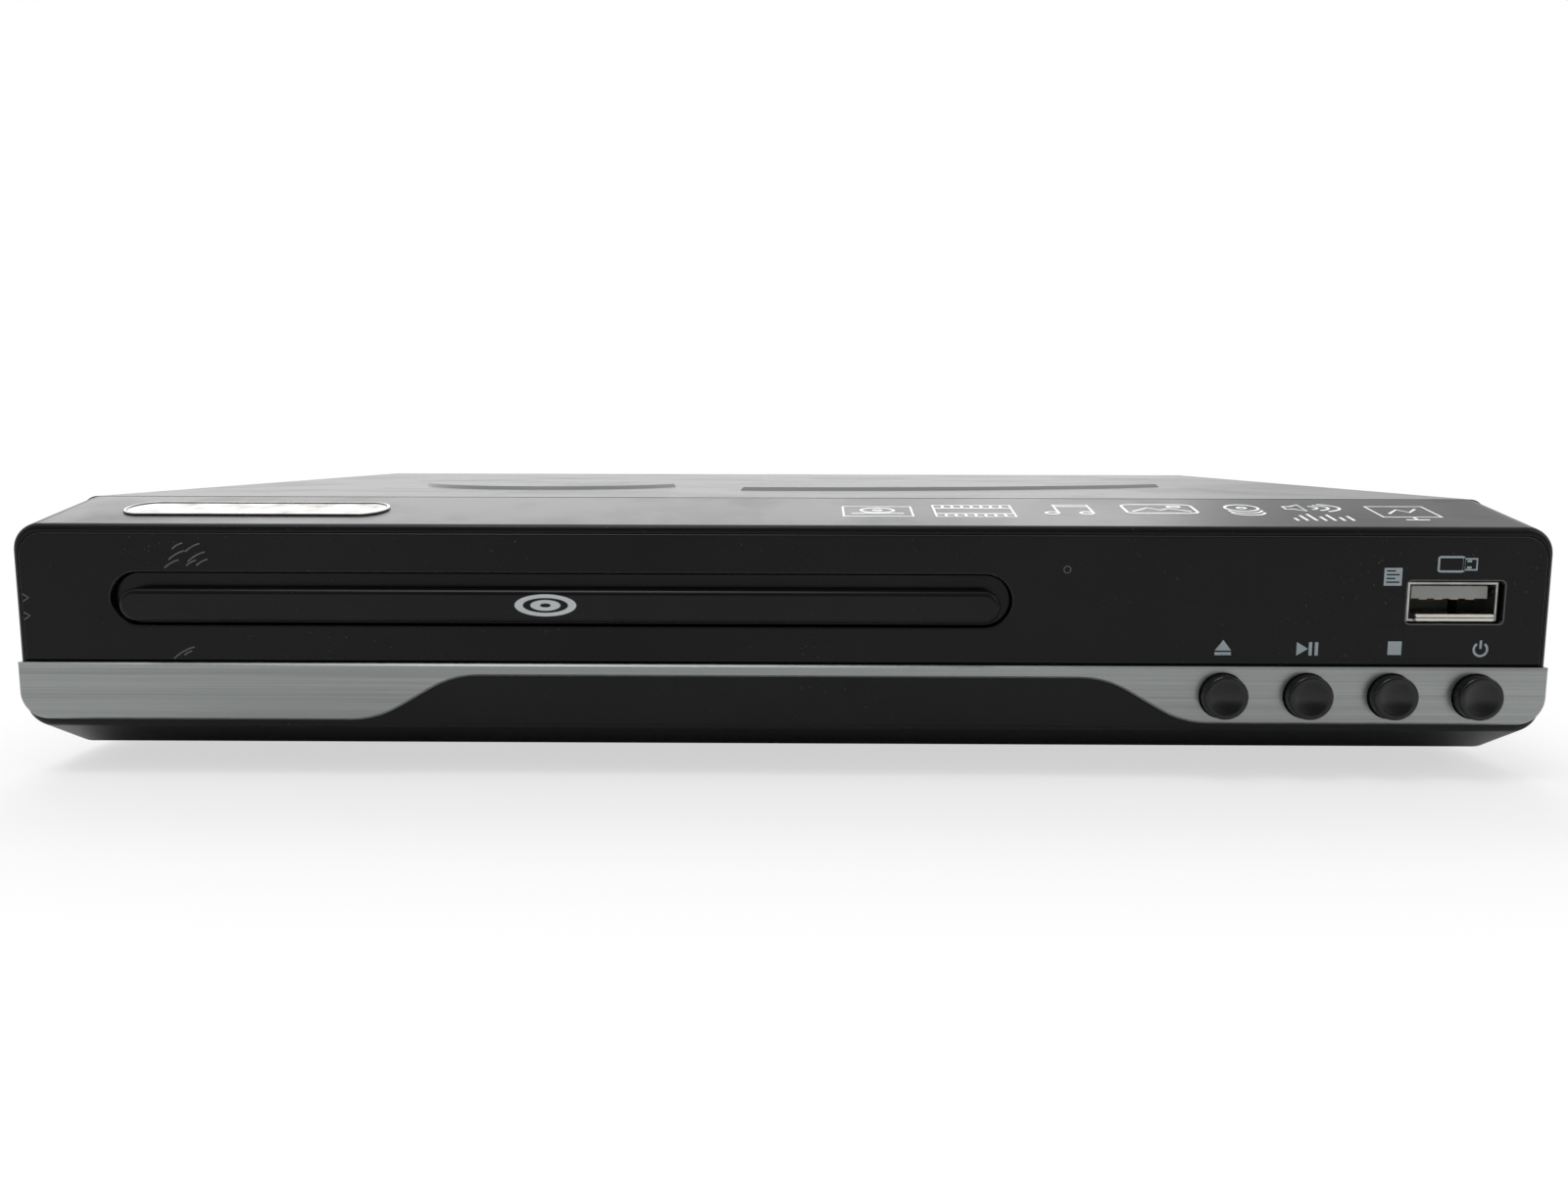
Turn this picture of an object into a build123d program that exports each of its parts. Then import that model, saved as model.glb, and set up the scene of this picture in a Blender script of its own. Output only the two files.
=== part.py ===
"""A compact disc player with a motor-driven tray.

Case, front panel, loading mechanism, lifting pickup deck and boards.

Millimetres. +X is to the right seen from the front, +Y runs to the back and +Z is up. The origin is on the
floor under the middle of the player, its buttons and rear sockets included. A depth is measured back from
the front panel's face, and a height from the floor that the feet stand on.
"""

import math
import os

from build123d import *

os.makedirs("parts", exist_ok=True)

# ---- Materials and general clearances ------------------------------------------------------------
sheet = 0.8
panel_wall = 2.2
frame_wall = 1.8
board_thickness = 1.6
slide_gap = 0.4
running_gap = 0.05
seat_gap = 0.1
foot_height = 2.5
foot_radius = 7.0
foot_inset_x = 14.0
foot_front = 34.0
foot_back = 24.0

# ---- Disc and tray -------------------------------------------------------------------------------
disc_radius = 60.0
small_disc_radius = 40.0
disc_clearance = 0.6
disc_recess_depth = 2.2
small_recess_depth = 3.6
tray_floor = 1.3
tray_rim = 3.2
tray_height = 6.6
tray_front_bar = 2.65
tray_tail = 24.4
tray_travel = 124.0
keyhole_radius = 23.0
finger_radius = 10.0
door_setback = 1.15
door_flange_thickness = 1.6
door_flange_gap = 0.3
door_pad_width = 128.7
door_pad_height = 4.86
door_pad_proud = 1.66
door_pad_drop = 0.77

# ---- Tray drive ----------------------------------------------------------------------------------
rack_module = 1.0
pinion_teeth = 14
wheel_module = 0.8
wheel_teeth = 26
small_wheel_teeth = 12
tooth_backlash = 0.16
centre_slack = 0.1
pressure_angle = 20.0
rack_wall = 3.2
gear_face = 2.2
pulley_height = 3.0
pulley_radius = 12.2
motor_pulley_radius = 4.0
groove_depth = 1.6
belt_size = 1.2
belt_gap = 0.3
belt_span = 29.0
post_radius = 1.5
pinion_depth = 20.0
motor_can_radius = 12.2
motor_floor_gap = 1.9
motor_setback = 3.0
motor_can_height = 9.3
motor_shaft_radius = 1.0

# ---- Pickup deck ---------------------------------------------------------------------------------
lift_angle = 4.5
hinge_reach = 76.0
lift_frame_width = 92.0
lift_frame_height = 5.0
lift_frame_rail = 4.0
lift_frame_front = 19.0
lift_floor_gap = 1.25
cam_stroke = 16.0
cam_pin_radius = 1.5
cam_play = 0.35
deck_gap = 1.0
lug_half = 4.5
steel = 1.2
grommet_height = 2.0
grommet_radius = 3.8
turntable_radius = 13.5
turntable_thickness = 1.6
hub_radius = 7.45
hub_height = 1.6
disc_lift = 0.6
spindle_can_radius = 12.0
spindle_can_height = 5.8
spindle_shaft_radius = 1.0
rod_radius = 1.5
rod_spacing = 42.0
sled_length = 20.0
sled_travel = 35.0
sled_start = 16.0
screw_offset = 27.5
sled_motor_radius = 4.5
sled_motor_length = 11.5

# ---- Clamp ---------------------------------------------------------------------------------------
bridge_gap = 2.4
bridge_width = 36.0
bridge_flange = 3.0
puck_radius = 11.5
puck_flange_radius = 15.5
puck_gap = 0.35
headroom = 7.95

# ---- Case ----------------------------------------------------------------------------------------
slot_left_margin = 14.17
slot_end_gap = 2.45
slot_height = 7.9
slot_below_centre = 3.5
right_bay = 78.33
rear_bay = 6.5
bevel_rise = 5.0
bevel_run = 10.0
wing_rise = 3.3
wing_run = 16.7
wing_step = 0.05
corner_radius = 4.0
edge_radius = 1.0
joint_gap = 0.3
cover_inset = 0.75
cover_bend = 2.5
emboss_height = 0.6

# ---- Front trim, lens, buttons and socket --------------------------------------------------------
trim_proud = 0.65
trim_pocket = 0.6
trim_margin = 1.0
trim_below_slot = 9.5
strip_height = 1.8
wing_length = 52.9
swoop_run = 11.6
swoop_radius = 14.0
lens_thickness = 0.8
lens_pocket = 0.7
lens_gap = 0.2
lens_margin = 1.0
lens_height = 19.0
lens_radius = 3.5
pocket_gap = 0.1
button_radius = 3.25
button_hole_radius = 3.45
button_pitch = 12.3
button_margin = 10.5
button_proud = 2.0
button_dish_radius = 2.45
button_dish_depth = 0.45
button_travel = 0.8
button_flange_radius = 4.3
switch_size = 6.0
switch_height = 3.5
usb_width = 14.05
usb_height = 6.2
usb_margin = 14.015
usb_shell_width = 13.1
usb_shell_height = 5.7
usb_shell_wall = 0.3
usb_shell_length = 14.0
usb_tongue_width = 11.1
usb_tongue_thickness = 1.84
badge_width = 40.6
badge_height = 7.5
badge_thickness = 0.4
badge_margin = 12.4

# ---- Rear sockets and boards ---------------------------------------------------------------------
jack_radius = 4.15
jack_wall = 0.7
jack_bore_radius = 1.6
jack_reach = 8.3
jack_pitch_x = 14.0
jack_pitch_z = 13.5
jack_columns = 3
jack_rows = 2
power_board_width = 26.5
board_height = 6.0
inlet_width = 22.0
inlet_height = 14.0
inlet_cavity_width = 14.8
inlet_cavity_height = 8.6
inlet_cavity_depth = 9.0
inlet_pin_radius = 1.18
inlet_pin_pitch = 8.6
screw_radius = 1.5
screw_head_radius = 2.8
screw_head_height = 1.6

# ---- Sizes that follow from those above ----------------------------------------------------------
recess_radius = disc_radius + disc_clearance
small_recess_radius = small_disc_radius + disc_clearance
tray_half = recess_radius + tray_rim
slot_width = 2 * (tray_half + slot_end_gap)
case_width = slot_left_margin + slot_width + right_bay
case_right = case_width / 2
loader_x = -case_right + slot_left_margin + slot_width / 2

tray_start = door_setback + door_flange_thickness
disc_depth = tray_start + tray_front_bar + recess_radius
tray_end = disc_depth + recess_radius + tray_tail
frame_start = tray_start + 1.85
frame_end = tray_end + 0.7 + frame_wall
case_depth = frame_end + rear_bay

floor_top = foot_height + sheet
plate_low = floor_top + motor_floor_gap + motor_can_height
plate_top = plate_low + 2.0
gear_low = plate_top + 0.7
gear_high = gear_low + gear_face
pulley_low = gear_high + 0.3
pulley_high = pulley_low + pulley_height
tray_low = pulley_high + 0.3
tray_high = tray_low + tray_height
frame_high = tray_high + bridge_gap
cover_inner = frame_high + headroom
cover_high = cover_inner + sheet

slot_z = tray_low + slot_below_centre
trim_high = slot_z - trim_below_slot
face_low = foot_height + bevel_rise
face_high = cover_high - wing_step - wing_rise
trim_low = face_low + trim_margin
strip_low = trim_high - strip_height
lens_low = trim_high + lens_gap
lens_high = lens_low + lens_height
button_z = (trim_low + trim_high) / 2
usb_x = case_right - usb_margin
usb_z = slot_z + 0.06

frame_inner = tray_half + slide_gap
frame_outer = frame_inner + frame_wall
loader_left = loader_x - frame_outer
loader_right = loader_x + frame_outer

pinion_radius = rack_module * pinion_teeth / 2
wheel_radius = wheel_module * wheel_teeth / 2
small_wheel_radius = wheel_module * small_wheel_teeth / 2
rack_root = loader_x + tray_half - rack_wall
rack_line = rack_root - 1.25 * rack_module
pinion_x = rack_line - pinion_radius - centre_slack / 2
pulley_x = pinion_x - wheel_radius - small_wheel_radius - centre_slack
motor_x = pulley_x - belt_span
motor_depth = pinion_depth + motor_setback
channel_left = pinion_x - pinion_radius - rack_module - 0.6

hinge_depth = disc_depth + hinge_reach
lift_start = disc_depth - lift_frame_front
lift_end = hinge_depth + 4.0
front_drop = (hinge_depth - lift_start) * math.sin(math.radians(lift_angle))
lift_low = floor_top + front_drop + lift_floor_gap
lift_high = lift_low + lift_frame_height
hinge_z = lift_low + 2.0
grommet_low = lift_low + 2.2
deck_low = grommet_low + grommet_height
deck_high = deck_low + steel
deck_width = lift_frame_width - 2 * (lift_frame_rail + deck_gap)
lug_reach = deck_width / 2 - lug_half
deck_start = lift_start + 5.0
deck_end = lift_end - 4.5
bay_half = lift_frame_width / 2 + 4.0
bay_start = lift_start - 7.5
rod_z = deck_low - 2.0
table_high = tray_high - disc_recess_depth + disc_lift
sled_front = disc_depth + sled_start
cam_face = bay_start + 0.7
cam_back = cam_face + 2.4
cam_pin_z = lift_low + 2.5
pin_drop = (hinge_depth - cam_back) * math.sin(math.radians(lift_angle))

cover_half = case_right - cover_inset
cover_start = wing_run + joint_gap
chassis_half = cover_half - sheet - running_gap
cover_low = floor_top + 0.3
rear_panel_back = case_depth - sheet
rear_panel_front = rear_panel_back - sheet

board_left = loader_right + 3.0
board_right = chassis_half - sheet - 1.2
board_low = floor_top + board_height
board_high = board_low + board_thickness
power_left = board_right - power_board_width
main_right = power_left - 2.0
board_end = rear_panel_front - 1.4
main_start = 44.0
power_start = 34.0
jack_x = (board_left + main_right) / 2
jack_z = board_high + 3.5
jack_block_depth = 12.0
inlet_x = (power_left + board_right) / 2
inlet_z = board_high + inlet_height / 2
jack_end = rear_panel_back + jack_reach

# Everything is placed from the middle of the player's whole depth, buttons and sockets included.
front_proud = trim_proud + button_proud
front_y = (front_proud - jack_end) / 2


# ---- Planes and small helpers --------------------------------------------------------------------
def level(height):
    """A level plane at a height: its x is X, and its y is the depth."""
    return Plane(origin=(0, front_y, height), x_dir=(1, 0, 0), z_dir=(0, 0, 1))


def upright(depth):
    """An upright plane at a depth that faces the front: its x is X, and its y is the height."""
    return Plane(origin=(0, front_y + depth, 0), x_dir=(1, 0, 0), z_dir=(0, -1, 0))


def side_on(x):
    """An upright plane that faces the right side: its x is the depth, and its y is the height."""
    return Plane(origin=(x, front_y, 0), x_dir=(0, 1, 0), z_dir=(1, 0, 0))


def block(xs, depths, heights, mode=Mode.ADD):
    """Adds a block to the piece in hand, between two X values, two depths and two heights."""
    (x0, x1), (d0, d1), (z0, z1) = xs, depths, heights
    with Locations(((x0 + x1) / 2, front_y + (d0 + d1) / 2, (z0 + z1) / 2)):
        Box(x1 - x0, d1 - d0, z1 - z0, mode=mode)


def post(x, depth, heights, radius, mode=Mode.ADD):
    """Adds an upright round post to the piece in hand."""
    z0, z1 = heights
    with Locations((x, front_y + depth, (z0 + z1) / 2)):
        Cylinder(radius, z1 - z0, mode=mode)


def peg(x, z, depths, radius, mode=Mode.ADD):
    """Adds a round peg that runs from front to back to the piece in hand."""
    d0, d1 = depths
    with Locations(Location((x, front_y + (d0 + d1) / 2, z), (90, 0, 0))):
        Cylinder(radius, d1 - d0, mode=mode)


def save(builder, name):
    """Names a finished piece and writes its file."""
    builder.part.label = name
    export_step(builder.part, f"parts/{name}.step")


def pan_screw(x, depth, head_low, length, direction=-1):
    """Adds an upright screw: its head sits at head_low, its shank runs down, or up where direction is 1."""
    head_top = head_low - direction * screw_head_height
    post(x, depth, sorted((head_low, head_top)), screw_head_radius)
    post(x, depth, sorted((head_low, head_low + direction * length)), screw_radius - running_gap)


# ---- Outlines that more than one piece shares ----------------------------------------------------
def panel_profile(back):
    """The front panel's side profile, from its face to a given depth: lower bevel, face and sloping wing."""
    slope = wing_rise / wing_run
    with BuildLine() as outline:
        Polyline(
            (0, face_low),
            (0, face_high),
            (back, face_high + slope * back),
            (back, foot_height),
            (bevel_run, foot_height),
            close=True,
        )
    make_face(outline.edges())


def trim_outline():
    """The silver trim: two deep wings joined by a thin strip through two S-curves."""
    swoop_out = case_right - wing_length
    swoop_in = swoop_out - swoop_run
    points = [(-swoop_in, strip_low), (-swoop_out, trim_low), (-case_right, trim_low)]
    points.append((-case_right, trim_high))
    points += [(-x, z) for x, z in reversed(points)]
    bends = [swoop_radius, swoop_radius, corner_radius, 0]
    with BuildLine() as outline:
        FilletPolyline(*points, radius=bends + bends[::-1], close=True)
    make_face(outline.edges())


def lens_outline():
    """The dark lens over the upper face, with its two top corners rounded."""
    half = case_right - lens_margin
    points = [(-half, lens_low), (-half, lens_high), (half, lens_high), (half, lens_low)]
    with BuildLine() as outline:
        FilletPolyline(*points, radius=[0, lens_radius, lens_radius, 0], close=True)
    make_face(outline.edges())


def front_openings(mode):
    """The tray slot and the socket's cut-out."""
    with Locations((loader_x, slot_z)):
        SlotOverall(slot_width, slot_height, mode=mode)
    with Locations((usb_x, usb_z)):
        RectangleRounded(usb_width, usb_height, 0.6, mode=mode)


button_xs = [case_right - button_margin - i * button_pitch for i in reversed(range(4))]
button_spots = [(x, button_z) for x in button_xs]

# ---- Front panel ---------------------------------------------------------------------------------
window_x = (loader_right + case_right) / 2 - 10.0
window_width = 27.0
window_height = 9.5
ir_x = usb_x - 16.0
board_face = 10.4
boss_x = button_xs[0] - 19.5
boss_spots = [
    (boss_x, face_low + 3.5),
    (boss_x, lens_high - 5.0),
    ((button_xs[2] + button_xs[3]) / 2, button_z + 4.85),
]
collar_depth = 1.2

with BuildPart() as front_panel:
    with BuildSketch(side_on(-case_right)):
        panel_profile(wing_run)
    extrude(amount=case_width)
    end_edges = front_panel.edges().filter_by(lambda e: abs(abs(e.center().X) - case_right) < 0.01)
    corners = end_edges.filter_by(lambda e: e.center().Z > face_high or e.center().Z < face_low)
    fillet(corners, radius=corner_radius)
    fillet(front_panel.faces().sort_by(Axis.Y)[0].edges(), radius=edge_radius)
    with BuildSketch(side_on(-case_right + panel_wall)):
        panel_profile(wing_run + 2 * panel_wall)
        offset(amount=-panel_wall, kind=Kind.INTERSECTION)
    extrude(amount=case_width - 2 * panel_wall, mode=Mode.SUBTRACT)
    # Pockets for the lens and the trim.
    with BuildSketch(upright(lens_pocket)):
        lens_outline()
        offset(amount=pocket_gap, kind=Kind.INTERSECTION)
    extrude(amount=lens_pocket + 1, mode=Mode.SUBTRACT)
    with BuildSketch(upright(trim_pocket)):
        trim_outline()
        offset(amount=pocket_gap, kind=Kind.INTERSECTION)
    extrude(amount=trim_pocket + 1, mode=Mode.SUBTRACT)
    # Tabs that reach over the chassis floor and under the cover.
    tab_xs = [share * case_right for share in (-0.9, -0.5, 0, 0.5, 0.9)]
    for x in tab_xs:
        block((x - 7, x + 7), (wing_run - 3.5, cover_start + 5), (floor_top + 0.05, floor_top + 1.6))
        block((x - 7, x + 7), (wing_run - 3.5, cover_start + 5), (cover_inner - 1.65, cover_inner - 0.05))
    # Collars that guide the buttons, and a rim that stiffens the slot.
    with BuildSketch(upright(panel_wall + collar_depth)):
        with Locations(*button_spots):
            Circle(button_hole_radius + 1.4)
        with Locations((loader_x, slot_z)):
            SlotOverall(slot_width + 2.8, slot_height + 2.8)
    extrude(amount=collar_depth + 0.2)
    # Bosses that hold the key board, and the ledge that carries the socket's board.
    with BuildSketch(upright(board_face)):
        with Locations(*boss_spots):
            Circle(2.6)
    extrude(amount=board_face - panel_wall + 0.2)
    usb_board_high = usb_z - usb_shell_height / 2
    usb_board_low = usb_board_high - board_thickness
    block((usb_x - 8, usb_x + 8), (panel_wall - 0.2, 14), (usb_board_low - 1.5, usb_board_low))
    # Openings through the wall.
    with BuildSketch(upright(panel_wall + collar_depth + 1)):
        front_openings(Mode.ADD)
        with Locations(*button_spots):
            Circle(button_hole_radius)
        with Locations((window_x, slot_z)):
            RectangleRounded(window_width, window_height, 1)
        with Locations((ir_x, slot_z)):
            Circle(3)
    extrude(amount=panel_wall + collar_depth + 2, mode=Mode.SUBTRACT)
    # Screw holes in the bosses.
    with BuildSketch(upright(board_face)):
        with Locations(*boss_spots):
            Circle(1.2)
    extrude(amount=5, mode=Mode.SUBTRACT)
save(front_panel, "front_panel")

with BuildPart() as front_lens:
    with BuildSketch(upright(lens_pocket)):
        lens_outline()
        front_openings(Mode.SUBTRACT)
    extrude(amount=lens_thickness)
save(front_lens, "front_lens")

with BuildPart() as silver_trim:
    with BuildSketch(upright(trim_pocket)):
        trim_outline()
        with Locations(*button_spots):
            Circle(button_hole_radius, mode=Mode.SUBTRACT)
    extrude(amount=trim_pocket + trim_proud)
    front_face = silver_trim.faces().sort_by(Axis.Y)[0]
    chamfer(front_face.outer_wire().edges(), length=0.3)
save(silver_trim, "silver_trim")

wing_angle = math.atan2(wing_rise, wing_run)
badge_depth = wing_run * 0.52
badge_x = -case_right + badge_margin + badge_width / 2
badge_z = face_high + badge_depth * wing_rise / wing_run
badge_plane = Plane(
    origin=(badge_x, front_y + badge_depth, badge_z),
    x_dir=(1, 0, 0),
    z_dir=(0, -math.sin(wing_angle), math.cos(wing_angle)),
)
with BuildPart() as badge_plate:
    with BuildSketch(badge_plane):
        SlotOverall(badge_width, badge_height)
    extrude(amount=badge_thickness)
    badge_face = badge_plate.faces().sort_by(Axis(badge_plane.origin, badge_plane.z_dir))[-1]
    chamfer(badge_face.edges(), length=badge_thickness / 2)
save(badge_plate, "badge_plate")

# ---- Tray door and buttons -----------------------------------------------------------------------
hook_xs = [loader_x - 44, loader_x, loader_x + 44]
hook_heights = (tray_low + 1.2, tray_low + 2.8)
with BuildPart() as tray_door:
    with BuildSketch(upright(tray_start)):
        with Locations((loader_x, slot_z)):
            SlotOverall(slot_width - 2 * door_flange_gap, slot_height - 2 * door_flange_gap)
    extrude(amount=door_flange_thickness)
    with BuildSketch(upright(door_setback)):
        with Locations((loader_x, slot_z - door_pad_drop)):
            SlotOverall(door_pad_width, door_pad_height)
    extrude(amount=door_setback + door_pad_proud)
    fillet(tray_door.faces().sort_by(Axis.Y)[0].edges(), radius=0.8)
    for x in hook_xs:
        block((x - 4, x + 4), (tray_start - 0.2, tray_start + 4.5), hook_heights)
save(tray_door, "tray_door")

cap_front = -(trim_proud + button_proud)
flange_front = panel_wall + collar_depth + seat_gap
switch_front = board_face - switch_height
button_names = ["eject_button", "play_button", "stop_button", "power_button"]
for x, name in zip(button_xs, button_names):
    with BuildPart() as button:
        with BuildSketch(side_on(x)):
            with BuildLine():
                ThreePointArc(
                    (cap_front + button_dish_depth, button_z),
                    (cap_front + 0.75 * button_dish_depth, button_z + button_dish_radius / 2),
                    (cap_front, button_z + button_dish_radius),
                )
                Polyline(
                    (cap_front, button_z + button_dish_radius),
                    (cap_front, button_z + button_radius - 0.35),
                    (cap_front + 0.35, button_z + button_radius),
                    (flange_front, button_z + button_radius),
                    (flange_front, button_z + button_flange_radius),
                    (flange_front + 1, button_z + button_flange_radius),
                    (flange_front + 1, button_z + 1.6),
                    (switch_front + 1.2, button_z + 1.6),
                    (switch_front + 1.2, button_z),
                    (cap_front + button_dish_depth, button_z),
                )
            make_face()
        revolve(axis=Axis((x, front_y, button_z), (0, 1, 0)))
    save(button, name)

# ---- Boards behind the front panel ---------------------------------------------------------------
board_back = board_face + board_thickness
with BuildPart() as front_board:
    with BuildSketch(upright(board_back)):
        board_left_end = loader_right + 4.0
        board_right_end = case_right - panel_wall - 2.0
        step_x = usb_x - 9.5
        step_z = usb_board_low - 1.8
        with BuildLine():
            Polyline(
                (board_left_end, face_low + 0.6),
                (board_left_end, lens_high - 2),
                (step_x, lens_high - 2),
                (step_x, step_z),
                (board_right_end, step_z),
                (board_right_end, face_low + 0.6),
                close=True,
            )
        make_face()
        with Locations(*boss_spots):
            Circle(screw_radius, mode=Mode.SUBTRACT)
    extrude(amount=board_thickness)
save(front_board, "front_board")

with BuildPart() as key_switches:
    for x in button_xs:
        half = switch_size / 2
        block((x - half, x + half), (switch_front, board_face), (button_z - half, button_z + half))
        peg(x, button_z, (switch_front - 0.1, switch_front + 2.5), 1.9, mode=Mode.SUBTRACT)
save(key_switches, "key_switches")

with BuildPart() as display_module:
    half_x, half_z = window_width / 2 - 0.5, window_height / 2 - 0.5
    window_height = (slot_z - half_z, slot_z + half_z)
    block((window_x - half_x, window_x + half_x), (lens_pocket + 0.3, board_face), window_height)
    digits = window_width / 5
    for i in range(4):
        x = window_x + (i - 1.5) * digits
        digit_width = (x - digits * 0.36, x + digits * 0.36)
        block(digit_width, (0, lens_pocket + 0.5), (slot_z - 3, slot_z + 3), Mode.SUBTRACT)
save(display_module, "display_module")

with BuildPart() as ir_receiver:
    block((ir_x - 3, ir_x + 3), (5.4, board_face), (slot_z - 3.5, slot_z + 3.5))
    with Locations((ir_x, front_y + 5.4, slot_z)):
        Sphere(2.5)
save(ir_receiver, "ir_receiver")

usb_start = lens_pocket + 0.1
with BuildPart() as usb_board:
    block((usb_x - 8, usb_x + 8), (panel_wall + 0.3, 30), (usb_board_low, usb_board_high))
save(usb_board, "usb_board")

with BuildPart() as usb_shell:
    with BuildSketch(upright(usb_start + usb_shell_length)):
        with Locations((usb_x, usb_z)):
            Rectangle(usb_shell_width, usb_shell_height)
    extrude(amount=usb_shell_length)
    with BuildSketch(upright(usb_start + usb_shell_length - usb_shell_wall)):
        with Locations((usb_x, usb_z)):
            Rectangle(usb_shell_width - 2 * usb_shell_wall, usb_shell_height - 2 * usb_shell_wall)
    extrude(amount=usb_shell_length, mode=Mode.SUBTRACT)
save(usb_shell, "usb_shell")

tongue_high = usb_z + usb_shell_height / 2 - usb_shell_wall - 0.35
tongue_low = tongue_high - usb_tongue_thickness
with BuildPart() as usb_tongue:
    half = usb_tongue_width / 2
    back = usb_start + usb_shell_length - usb_shell_wall
    block((usb_x - half, usb_x + half), (usb_start + 0.9, back), (tongue_low, tongue_high))
    root_low = usb_z - usb_shell_height / 2 + usb_shell_wall
    block((usb_x - half, usb_x + half), (back - 2.5, back), (root_low, tongue_high))
save(usb_tongue, "usb_tongue")

with BuildPart() as usb_contacts:
    for i in range(4):
        x = usb_x + (i - 1.5) * 2.3
        block((x - 0.6, x + 0.6), (usb_start + 1.6, back - 2.5), (tongue_low - 0.25, tongue_low))
save(usb_contacts, "usb_contacts")

# ---- Loading frame -------------------------------------------------------------------------------
left_in, right_in = loader_x - frame_inner, loader_x + frame_inner
rail_high = tray_low - seat_gap
hold_low = tray_high + 0.15
leg_depths = (cover_start + 9.5, frame_end - 9)
leg_spots = [(loader_x + side * (frame_outer - 6.5), d) for side in (-1, 1) for d in leg_depths]
with BuildPart() as loader_frame:
    with BuildSketch(level(plate_low - 2)):
        with Locations((loader_x, (frame_start + frame_end) / 2)):
            Rectangle(2 * frame_outer, frame_end - frame_start)
            Rectangle(2 * frame_inner, frame_end - frame_start - 2 * frame_wall, mode=Mode.SUBTRACT)
    extrude(amount=frame_high - plate_low + 2)
    # The tray leaves over the low front wall.
    front_wall = (frame_start - 1, frame_start + frame_wall)
    block((left_in, right_in), front_wall, (tray_low - 0.6, frame_high + 1), Mode.SUBTRACT)
    with BuildSketch(level(plate_low)):
        with Locations((loader_x, (frame_start + frame_end) / 2)):
            Rectangle(2 * frame_inner + 0.4, frame_end - frame_start - 2 * frame_wall + 0.4)
        with Locations((loader_x, (bay_start + lift_end + 0.5) / 2)):
            Rectangle(2 * bay_half, lift_end + 0.5 - bay_start, mode=Mode.SUBTRACT)
    extrude(amount=plate_top - plate_low)
    # Rails under the tray's edges, and hold-down lips over them.
    for wall_x, inward in ((left_in, 1), (right_in, -1)):
        xs = sorted((wall_x - inward * 0.2, wall_x + inward * 2.8))
        block(xs, (frame_start + frame_wall, frame_end - frame_wall), (rail_high - 1.5, rail_high))
        for d in (frame_start + 8, disc_depth, tray_end - 14):
            lip = sorted((wall_x - inward * 0.2, wall_x + inward * 2.3))
            block(lip, (d - 5, d + 5), (hold_low, hold_low + 1.3))
    for x, d in leg_spots:
        post(x, d, (floor_top, plate_low + 0.5), 4)
        post(x, d, (floor_top - 1, plate_low - 3), 1.6, mode=Mode.SUBTRACT)
    # Posts for the two gears, and the motor's seat.
    post(pinion_x, pinion_depth, (plate_top - 0.5, tray_high - small_recess_depth - 0.2), post_radius)
    post(pulley_x, pinion_depth, (plate_top - 0.5, pulley_high - 0.1), post_radius)
    for x in (pinion_x, pulley_x):
        post(x, pinion_depth, (plate_top - 0.5, gear_low - seat_gap), post_radius + 1.2)
    post(motor_x, motor_depth, (plate_low - 1, plate_top + 1), 3.4, mode=Mode.SUBTRACT)
    # Guides that hold the cam slider down.
    for x in (loader_x - 14, loader_x + 16):
        block((x - 2, x + 2), (bay_start - 8.1, bay_start - 7.2), (plate_top - 0.5, plate_top + 3.2))
        block((x - 2, x + 2), (bay_start - 8.1, bay_start - 5), (plate_top + 1.9, plate_top + 3.2))
    # Bearing blocks for the lifting frame's hinge pins.
    for side in (-1, 1):
        xs = sorted((loader_x + side * (lift_frame_width / 2 + 0.6), loader_x + side * (bay_half + 6)))
        block(xs, (hinge_depth - 4, hinge_depth + 4), (hinge_z - 4, plate_top))
    with BuildSketch(side_on(loader_x - bay_half - 7)):
        with Locations((hinge_depth, hinge_z)):
            Circle(post_radius + running_gap)
    extrude(amount=2 * bay_half + 14, mode=Mode.SUBTRACT)
    # Screw holes for the clamp bridge.
    bridge_spots = [
        (loader_x + side * (frame_outer - frame_wall / 2), disc_depth + d)
        for side in (-1, 1)
        for d in (-bridge_width / 2 + 5, bridge_width / 2 - 5)
    ]
    for x, d in bridge_spots:
        post(x, d, (hold_low, frame_high), 2.2)
        post(x, d, (frame_high - 6, frame_high + 1), 0.7, mode=Mode.SUBTRACT)
save(loader_frame, "loader_frame")

with BuildPart() as clamp_bridge:
    with BuildSketch(level(frame_high)):
        with Locations((loader_x, disc_depth)):
            Rectangle(2 * frame_outer, bridge_width)
            Circle(puck_radius + 1.1, mode=Mode.SUBTRACT)
        with Locations(*bridge_spots):
            Circle(1.1, mode=Mode.SUBTRACT)
        with Locations(*[(loader_x + side * 38, disc_depth) for side in (-1, 1)]):
            SlotOverall(26, 12, mode=Mode.SUBTRACT)
    extrude(amount=steel)
    for d in (disc_depth - bridge_width / 2, disc_depth + bridge_width / 2 - steel):
        block((left_in + 8, right_in - 8), (d, d + steel), (frame_high, frame_high + steel + bridge_flange))
save(clamp_bridge, "clamp_bridge")

with BuildPart() as loader_screws:
    for x, d in bridge_spots:
        post(x, d, (frame_high + steel, frame_high + steel + 1.2), 1.9)
        post(x, d, (frame_high - 5, frame_high + steel + 0.2), 0.65)
    for x, d in leg_spots:
        post(x, d, (foot_height - 1.2, foot_height), 2.8)
        post(x, d, (foot_height - 0.2, plate_low - 4), 1.5)
save(loader_screws, "loader_screws")

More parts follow.
